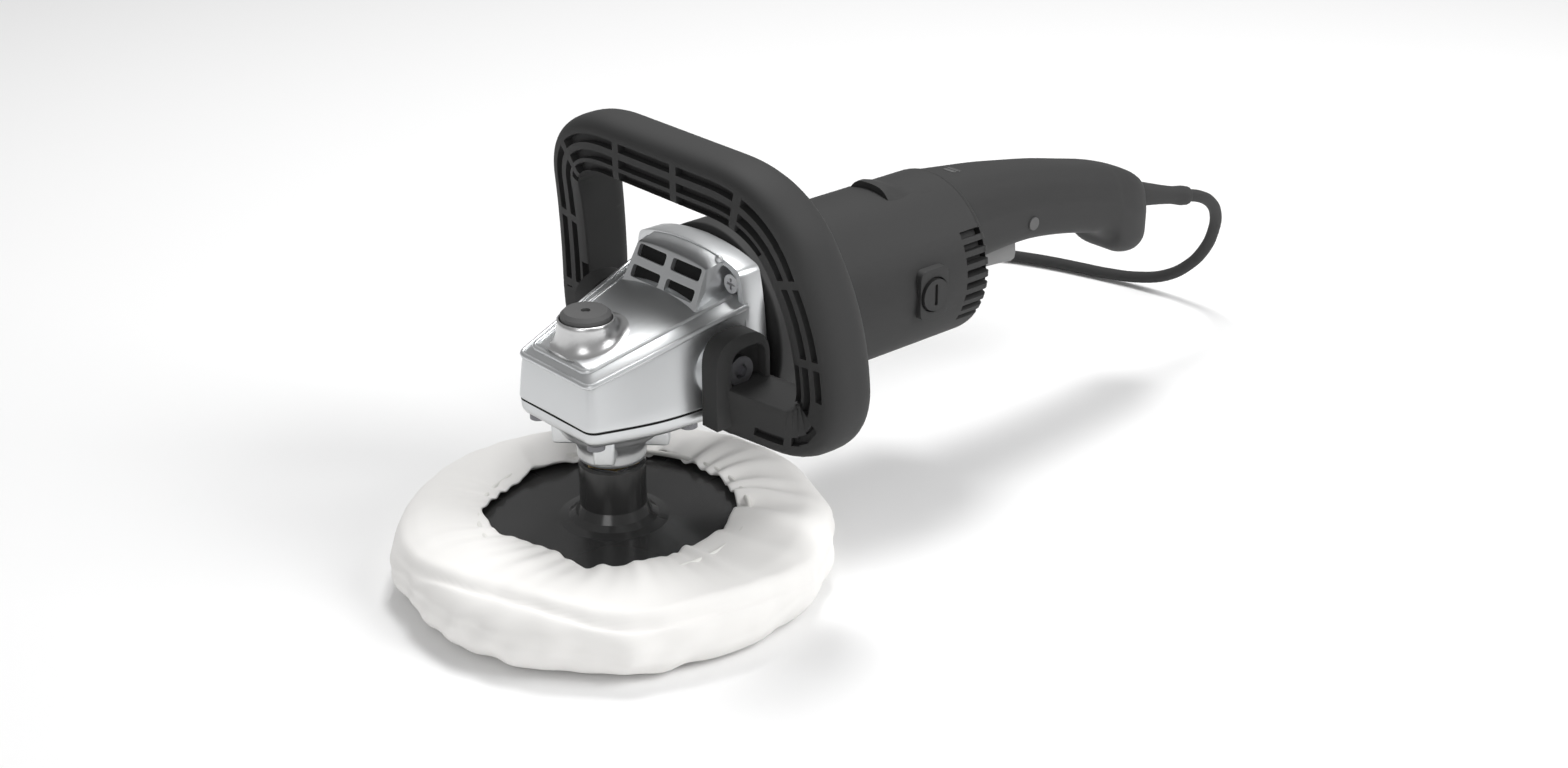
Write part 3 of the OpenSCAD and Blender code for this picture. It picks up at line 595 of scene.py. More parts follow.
def lathe(profile: Sequence, n: int = 96, reach: Sequence[float] | None = None, steps: int = 3) -> np.ndarray:
    """Rings of a shape turned about +Z through the origin.

    Args:
        profile: Points (r, z) from bottom to top; both ends on the axis.
        n: Points round each ring.
        reach: Rounding of each inner corner.
        steps: Segments of each rounding.

    Returns:
        An array of shape (rings, n, 3).
    """
    p = np.asarray(profile, float)
    if reach is not None:
        p = rounded(p, reach, steps)
    t = np.arange(n) * TAU / n
    return np.stack([np.column_stack([r * np.cos(t), r * np.sin(t), np.full(n, z)]) for r, z in p])


def place(obj: bpy.types.Object, body: str, slot: str, *nodes: str) -> bpy.types.Object:
    """Puts a piece on a body.

    Args:
        obj: The piece.
        body: The body that it moves with.
        slot: Its material slot; not used.
        nodes: The CAD nodes that it stands for.

    Returns:
        The piece.
    """
    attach(obj, body)
    if nodes:
        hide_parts(*nodes)
    return obj


# ---------------------------------------------------------------- gear head

# (x, half width) of the head's outline at its foot and at its two ridges, in front of the flange
FOOT_WIDTHS = ((-12, 36.5), (4, 34.3), (30, 25.6))
OUTER_WIDTHS = ((-12, 31.2), (4, 28.3), (28.2, 23.6))
INNER_WIDTHS = ((-12, 24.0), (4, 21.7), (25.4, 18.4))


@dataclass
class GearHead:
    """The cast head: housing with a double-ridged deck, air outlet block, flange and lock boss.

    Args:
        seam: Height of the cover seam.
        rear: Where the housing ends inside the flange.
        flange: Front and rear of the flange.
        flange_half: Half width of the flange.
        crown: Height of the middle of the flange.
        block_half: Half width of the air outlet block.
        lock_x: Axis of the lock button.
        deck_crown: How far the deck's middle stands above its ridges.
    """

    seam: float = 84.0
    rear: float = -46.0
    flange: tuple[float, float] = (-44.0, -55.0)
    flange_half: float = 38.3
    crown: float = 143.4
    block_half: float = 23.0
    lock_x: float = 11.0
    deck_crown: float = 2.6

    @staticmethod
    def outer_height(x: np.ndarray) -> np.ndarray:
        """Finds the height of the outer ridge, which climbs from the nose to the flange.

        Args:
            x: Where it's wanted.

        Returns:
            The height.
        """
        return 104.0 + (28.0 - x) * 0.275

    @staticmethod
    def inner_height(x: np.ndarray) -> np.ndarray:
        """Finds the height of the inner ridge.

        Args:
            x: Where it's wanted.

        Returns:
            The height.
        """
        return 107.5 + (28.0 - x) * 0.258

    def deck_height(self, x: np.ndarray, y: np.ndarray) -> np.ndarray:
        """Finds the height of the deck, which is crowned a little between its inner ridges.

        Args:
            x: Where it's wanted, along X.
            y: Where it's wanted, along Y.

        Returns:
            The height.
        """
        half = 18.4 + (25.4 - x) * 0.15
        return self.inner_height(x) + self.deck_crown * np.clip(1 - (y / half) ** 2, 0, 1)

    def outline(self, widths: Sequence[tuple[float, float]], corner: float) -> np.ndarray:
        """Half-rounded plan outline from the rear left, round the nose, to the rear right.

        Args:
            widths: (x, half width) from the rear to the nose corner.
            corner: Rounding of the nose corners.

        Returns:
            The points.
        """
        left = [(x, y) for x, y in widths]
        right = [(x, -y) for x, y in reversed(widths)]
        reach = [14.0] * (len(left) - 2) + [corner, corner] + [14.0] * (len(left) - 2)
        return rounded(left + right, reach, 6, 6)

    def shell(self) -> bpy.types.Object:
        """Makes the housing: from under it out to the wall, up to both ridges and in to the middle.

        Returns:
            The housing.
        """
        base = self.outline([(self.rear, 36.5), *FOOT_WIDTHS], 4.5)
        outer = self.outline([(self.rear, 37.2), *OUTER_WIDTHS], 3.0)
        inner = self.outline([(self.rear, 28.9), *INNER_WIDTHS], 3.0)
        z_outer, z_inner = self.outer_height(outer[:, 0]), self.inner_height(inner[:, 0])
        spine = np.minimum(inner[:, 0], 17.0)
        wall = [
            np.column_stack([np.minimum(base[:, 0], 20), np.zeros(len(base)), np.full(len(base), self.seam)]),
            np.column_stack([base, np.full(len(base), self.seam)]),
            np.column_stack([base * 0.4 + outer * 0.6 + [0.3, 0], self.seam * 0.4 + z_outer * 0.6]),
            np.column_stack([outer, z_outer]),
            np.column_stack([inner, z_inner]),
        ]
        middle = np.column_stack([spine, spine * 0])
        for k in (0.12, 0.3, 0.5, 0.7, 0.85, 1.0):
            at = inner * (1 - k) + middle * k
            wall.append(np.column_stack([at, self.deck_height(at[:, 0], at[:, 1])]))
        rows = rounded(wall, [0.8, 6.0, 1.5, 1.1, 0.6, 1, 1, 1, 1], 4, 1)
        return Shape().lattice(rows).build("head_shell", CAST, 50)

    def bead(
        self,
        widths: Sequence[tuple[float, float]],
        height: Callable[[np.ndarray], np.ndarray],
        radius: float,
        name: str,
    ) -> bpy.types.Object:
        """Makes a fine raised bead along a ridge, half sunk in it.

        Args:
            widths: (x, half width) of the ridge from the rear to the nose corner.
            height: Height of the ridge at x.
            radius: Radius of the bead.
            name: Object name.

        Returns:
            The bead.
        """
        plan = self.outline(widths, 3.0)
        line = resample(np.column_stack([plan, height(plan[:, 0]) - 0.3 * radius]), 1.5)
        _, u, v = frames(line, (0, 0, 1))
        t = np.arange(14) * TAU / 14
        round_it = np.cos(t)[None, :, None] * u[:, None] + np.sin(t)[None, :, None] * v[:, None]
        loops = line[:, None] + radius * round_it
        return Shape().loft(loops).build(name, CAST, 60)

    def block(self) -> bpy.types.Object:
        """Makes the air outlet block: a side profile drawn across Y, with an arched roof.

        Returns:
            The block.
        """
        rows = []
        for y in np.linspace(-1, 1, 61):
            arch = 1 - abs(y) ** 2.6
            side = self.block_half * y
            roof = self.crown_height(side) - 0.5
            rows.append([
                (-52, side, 112), (-24.0, side * 1.09, 118.5), (-26.9, side * 1.06, 121.6),
                (-29.0, side * 1.03, 126), (-35.0, side * 0.985, 138.2 + 1.4 * arch),
                (-40.0, side * 0.985, 139.2 + 2.2 * arch), (-45.5, side, roof), (-52, side, roof),
            ])
        rows = np.array(rows)
        rows = rounded(rows.transpose(1, 0, 2), [0.4, 3.0, 4.0, 1.2, 1.0, 1.0], 4).transpose(1, 0, 2)
        block = Shape().loft(rows).build("head_block", CAST, 60)
        carve(block, [self.outlet(side, row, 3.0, -7.0, 0) for side in (-1, 1) for row in (0, 1)])
        return soften(block, 0.6, CAST, 50)

    def crown_height(self, y: np.ndarray) -> np.ndarray:
        """Finds the height of the flange's arched top.

        Args:
            y: Where it's wanted.

        Returns:
            The height.
        """
        return self.crown - np.interp(np.abs(y), (0, 11, 23, 33.3), (0, 0.5, 2.2, 5.4))

    def outlet(self, side: int, row: int, outer: float, inner: float, spread: float) -> bpy.types.Object:
        """Makes a slot-shaped prism square to the block's sloped face.

        Args:
            side: -1 or 1.
            row: 0 for the lower slot, 1 for the upper one.
            outer: Where it starts, outwards from the face.
            inner: Where it ends, outwards from the face.
            spread: How much larger than the slot it is on every side.

        Returns:
            The prism.
        """
        along = (0.30, 0.76)[row]
        foot, top = np.array([-26.9, 121.6]), np.array([-35.3, 140.0])
        up = (top - foot) / np.linalg.norm(top - foot)
        out = np.array([up[1], -up[0]])
        middle = foot + (top - foot) * along
        face = slab(9.3 + spread, 2.75 + spread, 1.2, side * 11.4, 0)
        loops = []
        for d in (outer, inner):
            xz = middle + out * d + face[:, 1:] * up
            loops.append(np.column_stack([xz[:, 0], face[:, 0], xz[:, 1]]))
        return Shape().loft(np.array(loops)).build(f"outlet_{side}_{row}", SHADE_AND_GASKET_BLACK)

    def flange_outline(self, inset: float = 0.0) -> np.ndarray:
        """Draws the flange: straight sides, sloped shoulders and an arched crown.

        Args:
            inset: How far the outline is drawn in.

        Returns:
            The points (y, z).
        """
        w, c = self.flange_half - inset, self.crown - inset
        half = [
            (0, c), (11, c - 0.5), (23, c - 2.2), (w - 5, c - 5.4), (w - 2.2, 125.5), (w, 105), (w, 72),
            (w - 9, 61), (0, 61),
        ]
        both = half + [(-y, z) for y, z in reversed(half[1:-1])] + [half[0]]
        reach = [7, 7, 2.6, 8, 10, 4, 4, 1, 4, 4, 10, 8, 2.6, 7, 7]
        return rounded(both, reach, 5)[:-1]

    def flange_plate(self) -> bpy.types.Object:
        """Makes the flange, with two upper corner pockets for its screws.

        Returns:
            The flange.
        """
        plate = prism_x(self.flange_outline(), self.flange[0], self.flange[1]).build("head_flange", CAST)
        cutters = []
        for side in (-1, 1):
            pocket = rounded(
                [(21, 118), (33.4, 118), (32.0, 131), (29.4, 136.4), (24.8, 138.2), (21, 138.2), (21, 118)],
                [2, 5, 3, 2, 1], 4,
            )[:-1]
            pocket[:, 0] *= side
            cutter = prism_x(pocket, self.flange[0] + 2, self.flange[0] - 4.5)
            cutters.append(cutter.build(f"pocket_{side}", CAST))
        carve(plate, cutters)
        return soften(plate, 1.0, CAST, 35)

    def boss(self) -> bpy.types.Object:
        """Makes the lock boss: a ring that flares into the sloped deck.

        Returns:
            The boss.
        """
        n, rim, top = 120, 12.2, 122.4
        t = np.arange(n) * TAU / n
        inner = self.outline([(self.rear, 28.9), *INNER_WIDTHS], 3.0)
        angle = np.arctan2(inner[:, 1], inner[:, 0] - self.lock_x) % TAU
        reach = np.hypot(inner[:, 0] - self.lock_x, inner[:, 1])
        order = np.argsort(angle)
        reach = np.interp(t, angle[order], reach[order], period=TAU)
        reach = np.minimum(reach - 0.2, 18.5)
        reach = np.mean([np.roll(reach, k) for k in range(-6, 7)], axis=0)
        rings = []
        for k in np.linspace(1, 0, 14):
            r = rim + (reach - rim) * k**2.0
            x, y = self.lock_x + r * np.cos(t), r * np.sin(t)
            foot = self.deck_height(self.lock_x + reach * np.cos(t), reach * np.sin(t)) - 0.15
            rings.append(np.column_stack([x, y, foot + (top - foot) * (1 - k) ** 1.8]))
        lip = ((rim - 0.3, top + 0.25), (rim - 0.8, top + 0.3), (11.4, top + 0.1), (11.05, top - 0.5))
        for r, z in (*lip, (11.05, top - 6), (14, 105.0)):
            rings.append(np.column_stack([self.lock_x + r * np.cos(t), r * np.sin(t), np.full(n, z)]))
        boss = Shape().lattice(np.array(rings), wrap_rows=True, wrap_columns=True)
        return boss.build("head_boss", BOSS, 60)

    def side_pad(self, side: int) -> bpy.types.Object:
        """Makes the round pad that the loop handle's foot sits on.

        Args:
            side: -1 or 1.

        Returns:
            The pad.
        """
        rings = lathe([(0, 0), (14.5, 0), (13.6, 9), (0, 9)], 64, [0.5, 0.8])
        rings = np.stack([rings[..., 0] - 33, side * (rings[..., 2] + 29.6), rings[..., 1] + 99], -1)
        return Shape().lattice(rings, wrap_columns=True).build(f"head_pad_{side}", CAST, 40)

    def roof_bump(self) -> bpy.types.Object:
        """Makes the small cast bump on the roof, near its left corner.

        Returns:
            The bump.
        """
        rings = lathe([(0, -2), (1.7, -1), (1.6, 0.6), (0.9, 1.4), (0, 1.6)], 24, [0.6, 0.6, 0.5])
        rings = rings * [1.0, 1.25, 1.0] + [-43.0, 21.6, 140.8]
        return Shape().lattice(rings, wrap_columns=True).build("head_bump", CAST, 60)

    def painted_outlet_shade(self) -> bpy.types.Object:
        """Makes near-black sheets just inside the air outlets: painted shade where the inside of the tool
        lies in shade.

        Returns:
            The backs.
        """
        # Painted shade: each sheet is a near-black plug set 2.2 to 4.2 mm inside an outlet.
        backs = [self.outlet(side, row, -2.2, -4.2, 0.4) for side in (-1, 1) for row in (0, 1)]
        return join(backs, "outlet_painted_shade")

    def build(self) -> None:
        """Makes the head and puts it in place."""
        parts = [self.shell(), self.block(), self.flange_plate(), self.roof_bump()]
        parts.append(self.bead([(-44, 28.6), *INNER_WIDTHS], self.inner_height, 1.15, "bead_inner"))
        parts.append(self.bead([(-44, 36.8), *OUTER_WIDTHS], self.outer_height, 1.3, "bead_outer"))
        parts += [self.side_pad(s) for s in (-1, 1)]
        place(join(parts, "head"), "machine", "cast_aluminium", "gear_housing")
        place(self.boss(), "machine", "cast_aluminium")
        # Painted shade inside the air outlets.
        place(self.painted_outlet_shade(), "machine", "gasket")
        log.info("gear head done")


@dataclass
class BearingCover:
    """Cast cover under the head: a slab that follows the head's outline, a turned neck and its four lugs.

    Args:
        top: Height of its upper edge, just under the seam.
        head: The head whose outline it follows.
    """

    top: float = 83.3
    head: GearHead = field(default_factory=GearHead)

    def outline(self) -> np.ndarray:
        """Draws the cover's edge, which follows the head's foot and is straight at the rear.

        Returns:
            The points (x, y).
        """
        edge = self.head.outline([(-41, 36.5), *FOOT_WIDTHS], 4.5)
        return np.concatenate([edge, [[-41, 0]]])

    def slab_shape(self) -> bpy.types.Object:
        """Makes the slab, with a rounded lower edge, closed to its middle.

        Returns:
            The slab.
        """
        base = self.outline()
        middle = np.array([-6.0, 0.0])
        rows = []
        for inset, drop in ((36, 0), (0.5, 0), (0.5, 4.2), (2.2, 6.8), (7, 8.0), (36, 8.6)):
            at = base * (1 - inset / 36) + middle * inset / 36
            rows.append(np.column_stack([at, np.full(len(at), self.top - drop)]))
        rows = rounded(rows, [0.3, 2.0, 2.0, 3.0], 4)
        return Shape().lattice(rows, wrap_columns=True).build("cover_slab", CAST, 50)

    def neck(self) -> bpy.types.Object:
        """Makes the turned neck, which flares into the slab.

        Returns:
            The neck.
        """
        profile = [
            (0, 56), (14.4, 56), (14.9, 57.5), (15.0, 62.5), (17.6, 66.5), (21.5, 69), (22.6, 72), (25, 75.5),
            (0, 75.5),
        ]
        rings = lathe(profile, 96, [0.6, 0.5, 2, 2, 1.5, 1.5, 0.5])
        return Shape().lattice(rings, wrap_columns=True).build("cover_neck", CAST, 50)

    def lug(self, turn: float) -> bpy.types.Object:
        """Makes a lug on the neck.

        Args:
            turn: Its angle about the spindle, in radians.

        Returns:
            The lug.
        """
        lug = prism_z(slab(6.5, 4.5, 1.6, 18.6, 0), 62.8, 76)
        pts = np.concatenate(lug.points)
        c, s = math.cos(turn), math.sin(turn)
        x, y, z = pts.T
        lug.points = [np.column_stack([c * x - s * y, s * x + c * y, z])]
        return soften(lug.build("cover_lug", CAST), 0.8, CAST)

    def seam(self) -> bpy.types.Object:
        """Makes the dark line of the gasket between cover and head.

        Returns:
            The gasket.
        """
        base = self.outline() * 0.988
        return prism_z(base, self.top - 0.3, self.head.seam + 0.4).build("gasket_edge", SHADE_AND_GASKET_BLACK)

    def build(self) -> None:
        """Makes the cover and puts it in place."""
        lugs = [self.lug(math.radians(a)) for a in (45, 135, 225, 315)]
        cover = join([self.slab_shape(), self.neck(), *lugs], "cover")
        place(cover, "machine", "cast_aluminium", "bearing_cover")
        place(self.seam(), "machine", "gasket", "cover_gasket")
        log.info("bearing cover done")


# ---------------------------------------------------------------- loop handle


@dataclass
class LoopHandle:
    """The loop handle: one D section swept along a rounded path, with rows of slots on its flat front face.

    Args:
        half_path: Corner points of one half, from the middle of the top bar.
        reach: Rounding of the half path's corners.
        depth: Size of the section along X.
        width: Size of the section across.
        pitch: Distance between slot gaps along the handle.
        first_gap: Where one of the gaps is.
        bridge: Width of a gap.
        slot: Width of a slot.
        slot_depth: Depth of a slot.
        rows: Where the slot rows are across the front face; the last is by the inner edge.
    """

    half_path: tuple = (
        (-39.7, 0, 178.7), (-39.7, 66, 178.7), (-54, 80, 127), (-56.5, 83, 75), (-36, 40, 85),
    )
    reach: tuple = (52, 24, 26)
    depth: float = 26.0
    width: float = 24.0
    pitch: float = 38.3
    first_gap: float = 12.0
    bridge: float = 4.0
    slot: float = 3.8
    slot_depth: float = 3.6
    rows: tuple = (-2.6, 4.4, 9.9)

    def path(self) -> np.ndarray:
        """Draws the whole handle's centre line.

        Returns:
            Close points from the right foot to the left one.
        """
        half = rounded(self.half_path, self.reach, 24, 6)
        whole = np.concatenate([half[::-1] * [1, -1, 1], half[1:]])
        return resample(whole, 0.5)

    def section(self) -> tuple[np.ndarray, np.ndarray]:
        """Draws the section: a flat front face, small front corners and a round back.

        The front face has a pair of close points at each side of every slot row.

        Returns:
            The points (a, b) and, for each, which slot row it is in, or 0 for none.
        """
        a, b = self.depth / 2, self.width / 2
        face = []
        for row, middle in enumerate(self.rows, start=1):
            e = self.slot / 2
            face += [(middle - e, 0), (middle + e, 0)]
            face += [(middle - e + 0.2, row), (middle, row), (middle + e - 0.2, row)]
        face.sort()
        front = [(a, v, row) for v, row in face]
        outer = rounded([(a, 2), (a, -b), (-a, -b), (-a, b), (a, b), (a, 2)], [11.5, 12.5, 8.0, 1.8], 12, 2)
        start = np.argmin(np.hypot(outer[:, 0] - a, outer[:, 1] - (b - 1.8)))
        below = outer[: start + 1]
        edge = [v for _, v, _ in front]
        depth_at = np.interp(edge, *self._front(outer))
        front = [(x, v, row) for x, (_, v, row) in zip(depth_at, front)]
        low, high = min(edge) - 0.4, max(edge) + 0.1
        plain = [p for p in below if p[0] < 0 or p[1] < low or p[1] > high]
        plain = [(p[0], p[1], 0) for p in plain if p[0] <= 0 or p[1] < low or p[1] > high]
        ring = np.array(plain + front)
        turn = np.arctan2(ring[:, 1], ring[:, 0])
        ring = ring[np.argsort(turn)]
        return ring[:, :2], ring[:, 2].astype(int)

    @staticmethod
    def _front(outer: np.ndarray) -> tuple[np.ndarray, np.ndarray]:
        """Finds the front of a section.

        Args:
            outer: The section's points (a, b).

        Returns:
            Its b, rising, and its a at each b.
        """
        ahead = outer[outer[:, 0] > 0]
        ahead = ahead[np.argsort(ahead[:, 1], kind="stable")]
        _, first = np.unique(np.round(ahead[:, 1], 4), return_index=True)
        best = [ahead[np.abs(ahead[:, 1] - ahead[k, 1]) < 1e-3][:, 0].max() for k in first]
        return ahead[first, 1], np.array(best)

    def slots_at(self, s: np.ndarray, row: np.ndarray, half: float) -> np.ndarray:
        """Finds which stations lie in a slot.

        Args:
            s: Arc length from the middle of the top bar.
            row: Slot row at each station, or 0 for none.
            half: Half the length of the handle.

        Returns:
            True in a slot.
        """
        near = (s - self.first_gap + self.pitch / 2) % self.pitch - self.pitch / 2
        inside = np.abs(near) > self.bridge / 2
        inside &= np.abs(s) < half - 44
        inside &= ~((row == 1) & (np.abs(s) > half - 58))
        inside &= ~((row == 3) & (np.abs(s) > 72) & (np.abs(s) < 126))
        arm = half - 15 - np.abs(s)
        inside |= (row == 1) & (arm > 0) & (arm < 29.5) & (arm % 16.5 < 13)
        return inside

    def stations(self, length: float) -> np.ndarray:
        """Spaces the section rings: an even step, and a close pair at each end of every slot.

        Args:
            length: Length of the handle.

        Returns:
            Arc lengths from the middle of the top bar.
        """
        edges = []
        k = math.ceil((-length / 2 - self.first_gap) / self.pitch)
        while self.first_gap + k * self.pitch < length / 2:
            gap = self.first_gap + k * self.pitch
            for e in (-1, 1):
                edges += [gap + e * self.bridge / 2 * 0.999, gap + e * (self.bridge / 2 + 0.25)]
            k += 1
        half = length / 2
        for stop in (*(half - d for d in (15, 28, 31.5, 44.5, 44, 58)), 72.0, 126.0):
            for sign in (-1, 1):
                edges += [sign * (stop - 0.12), sign * (stop + 0.12)]
        return np.unique(np.concatenate([np.linspace(-half, half, int(length / 2.0)), edges]))

    def bow(self) -> bpy.types.Object:
        """Sweeps the bow, with its slots pressed into the front face.

        Returns:
            The bow.
        """
        path = self.path()
        arc = np.concatenate([[0], np.cumsum(np.linalg.norm(np.diff(path, axis=0), axis=1))])
        half = arc[-1] / 2
        s = self.stations(arc[-1])
        centre = np.column_stack([np.interp(s + half, arc, path[:, k]) for k in range(3)])
        _, u, v = frames(centre, (1, 0, 0))
        ring, row = self.section()
        grid_s, grid_row = np.meshgrid(s, row, indexing="ij")
        deep = self.slots_at(grid_s, grid_row, half) & (grid_row > 0)
        a = ring[None, :, 0] - self.slot_depth * deep
        b = np.broadcast_to(ring[None, :, 1], a.shape)
        points = centre[:, None] + a[..., None] * u[:, None] + b[..., None] * v[:, None]
        y, z = points[..., 1], points[..., 2]
        points[..., 1] = np.where(z < 112, np.sign(y) * np.maximum(np.abs(y), 38.9), y)
        bow = Shape().loft(points).build("loop_bow", BLACK, 35)
        log.info("loop bow: %.0f mm along its centre line, section %.0f mm deep", arc[-1], self.depth)
        return bow

    def foot(self, side: int) -> bpy.types.Object:
        """Makes the arched foot, with a raised rim and a sunk face.

        Args:
            side: -1 or 1.

        Returns:
            The foot.
        """
        outline = rounded(
            [(-18.5, 78), (-18.5, 118), (-47.5, 118), (-47.5, 78), (-18.5, 78)], [13.5, 13.5, 3], 8
        )[:-1]
        foot = prism_y(outline, side * 38.9, side * 48.5).build(f"loop_foot_{side}", BLACK)
        sunk = rounded(
            [(-26.5, 84), (-26.5, 112), (-45.2, 112), (-45.2, 84), (-26.5, 84)], [8.5, 6.5, 2], 6
        )[:-1]
        cutters = [prism_y(sunk, side * 43.5, side * 60).build("sunk", BLACK)]
        carve(foot, cutters)
        return soften(foot, 0.9, BLACK)

    def build(self) -> None:
        """Makes the handle and puts it in place."""
        bow = join([self.bow(), self.foot(-1), self.foot(1)], "loop")
        place(bow, "machine", "black_plastic", "loop_handle")
        log.info("loop handle done")


# ---------------------------------------------------------------- motor barrel


@dataclass
class MotorBarrel:
    """Motor housing: a turned barrel with a front flange, brush bosses and air inlets at its rear edge.

    Args:
        radius: Barrel radius.
        flange_radius: Flange radius.
        vents: Air inlets on each side.
        vent_from: Front end of the inlets.
        vent_to: Rear end of the inlets.
    """

    radius: float = 39.0
    flange_radius: float = 45.0
    vents: int = 8
    vent_from: float = 175.5
    vent_to: float = 188.0

    def shell(self) -> bpy.types.Object:
        """Turns the shell, with its inlets pressed in between close pairs of columns and rings.

        Returns:
            The shell.
        """
        r, f = self.radius, self.flange_radius
        profile = rounded(
            [(0, 57), (f, 57), (f, 72), (r + 0.6, 79), (r, 92), (r, 150), (r, 190.5), (0, 190.5)],
            [1.2, 2.0, 3.0, 8.0, 1, 3.0], 4, 2,
        )
        x = profile[:, 1]
        rings_at = (160.0, self.vent_from - 0.1, self.vent_from + 0.2, self.vent_to - 0.2)
        wall = [(r, at) for at in rings_at]
        profile = np.concatenate([profile[x <= 150.5], wall, profile[x >= 187]])
        spread = math.radians(8.9)
        w = spread * 0.25
        angles, slot = [], []
        for left in (True, False):
            for k in range(self.vents):
                middle = math.radians(-32) + k * spread
                for offset, mark in ((-w - 0.004, 0), (-w, 1), (0, 1), (w, 1), (w + 0.004, 0)):
                    angles.append(((middle if left else math.pi - middle) + offset) % TAU)
                    slot.append(mark)
        plain = np.arange(120) * TAU / 120
        taken = np.array(angles)
        away = [t for t in plain if np.min(np.abs((taken - t + math.pi) % TAU - math.pi)) > spread * 0.42]
        angles = np.concatenate([taken, away])
        slot = np.concatenate([slot, np.zeros(len(away))])
        order = np.argsort(angles)
        angles, slot = angles[order], slot[order]
        deep = (profile[:, 1] > self.vent_from)[:, None] & (profile[:, 1] < 190.4)[:, None] & (slot > 0)[None]
        deep &= (profile[:, 0] > r - 4)[:, None]
        radii = profile[:, :1] - 5.0 * deep
        back = np.broadcast_to(-profile[:, 1:], radii.shape)
        rows = np.stack([back, radii * np.cos(angles), radii * np.sin(angles) + AXIS_Z], -1)
        return Shape().lattice(rows, wrap_columns=True).build("barrel", BLACK, 35)

    def brush_boss(self, side: int) -> bpy.types.Object:
        """Makes the rounded square boss round a brush cap.

        Args:
            side: -1 or 1.

        Returns:
            The boss.
        """
        outline = slab(8.6, 11.8, 3.5, -152.0, 101.4)
        boss = prism_y(outline, side * 30, side * 41.2).build(f"boss_{side}", BLACK)
        ring = prism_y(circle(8.2, -152, 101, 48), side * 39, side * 50).build("seat", BLACK)
        carve(boss, [ring])
        return soften(boss, 1.1, BLACK)

    def build(self) -> None:
        """Makes the barrel and puts it in place."""
        barrel = join([self.shell(), self.brush_boss(-1), self.brush_boss(1)], "motor_barrel")
        place(barrel, "machine", "black_plastic", "motor_housing")
        log.info("motor barrel done")


# ---------------------------------------------------------------- rear handle


@dataclass
class RearHandle:
    """Rear handle: sections across X, from the tongue over the barrel to the hook at its end.

    Args:
        stations: Rows of (x, top, bottom, half width) from front to rear.
    """

    stations: tuple = (
        (-150.0, 143.2, 97, 16.5), (-152.5, 143.3, 97, 17.0), (-156, 142.4, 97, 18.2),
        (-162, 140.4, 96, 20.5), (-170, 139.8, 95, 23.5), (-180, 139.2, 94, 25.0),
        (-190, 138.2, 93, 25.0), (-206, 136.6, 94.4, 22.4), (-227, 134.0, 95.2, 20.6),
        (-243, 131.3, 94.8, 19.8), (-266, 127.0, 91.6, 19.3), (-288, 121.8, 86.6, 18.9),
        (-299, 119.2, 83.6, 18.8), (-304, 117.8, 79.6, 18.8), (-308, 116.6, 73.5, 18.8),
        (-313, 114.9, 70.2, 18.6), (-320, 112.2, 68.2, 17.8), (-326, 109.3, 67.8, 16.2),
        (-331, 106.2, 68.8, 13.6), (-334.6, 103.6, 71.2, 10.2),
        (-336.6, 101.0, 75.0, 5.8), (-337.2, 98.0, 80.0, 2.2),
    )

    def ring(self, top: float, bottom: float, half: float) -> np.ndarray:
        """Draws a section: a flat low side, a crease at a little over half height, and a crowned top.

        Args:
            top: Height of its top.
            bottom: Height of its underside.
            half: Half its width.

        Returns:
            The points (y, z).
        """
        h = top - bottom
        crease = bottom + 0.56 * h
        side = [
            (0, bottom), (half * 0.62, bottom), (half * 0.985, bottom + 0.16 * h), (half, crease),
            (half * 0.84, bottom + 0.86 * h), (half * 0.5, top - 0.6), (0, top),
        ]
        loop = side + [(-y, z) for y, z in reversed(side[1:-1])] + [side[0]]
        reach = [half * 0.3, half * 0.28, 2.2, half * 0.34, half * 0.3]
        reach = reach + [half * 0.4] + reach[::-1]
        return rounded(loop, reach, 6)[:-1]

    def shell(self) -> bpy.types.Object:
        """Lofts the handle through its sections and cuts the trigger's well.

        Returns:
            The handle.
        """
        rows = resample(np.array(self.stations), 1.6)
        loops = []
        for x, top, bottom, half in rows:
            ring = self.ring(top, bottom, half)
            loops.append(np.column_stack([np.full(len(ring), x), ring]))
        body = Shape().loft(np.array(loops)).build("handle", BLACK, 40)
        well = prism_y([(-209, 80), (-209, 104), (-249, 104), (-249, 80)], -8.4, 8.4)
        carve(body, [well.build("trigger_well", BLACK)])
        return body

    def build(self) -> None:
        """Makes the handle and puts it in place."""
        body = self.shell()
        paint(body, BLACK, 40)
        place(body, "machine", "black_plastic", "handle_shell_left", "handle_shell_right")
        log.info("rear handle done")


# ---------------------------------------------------------------- bonnet

OPENING = 14  # which point of the bonnet's outline is the edge of its opening


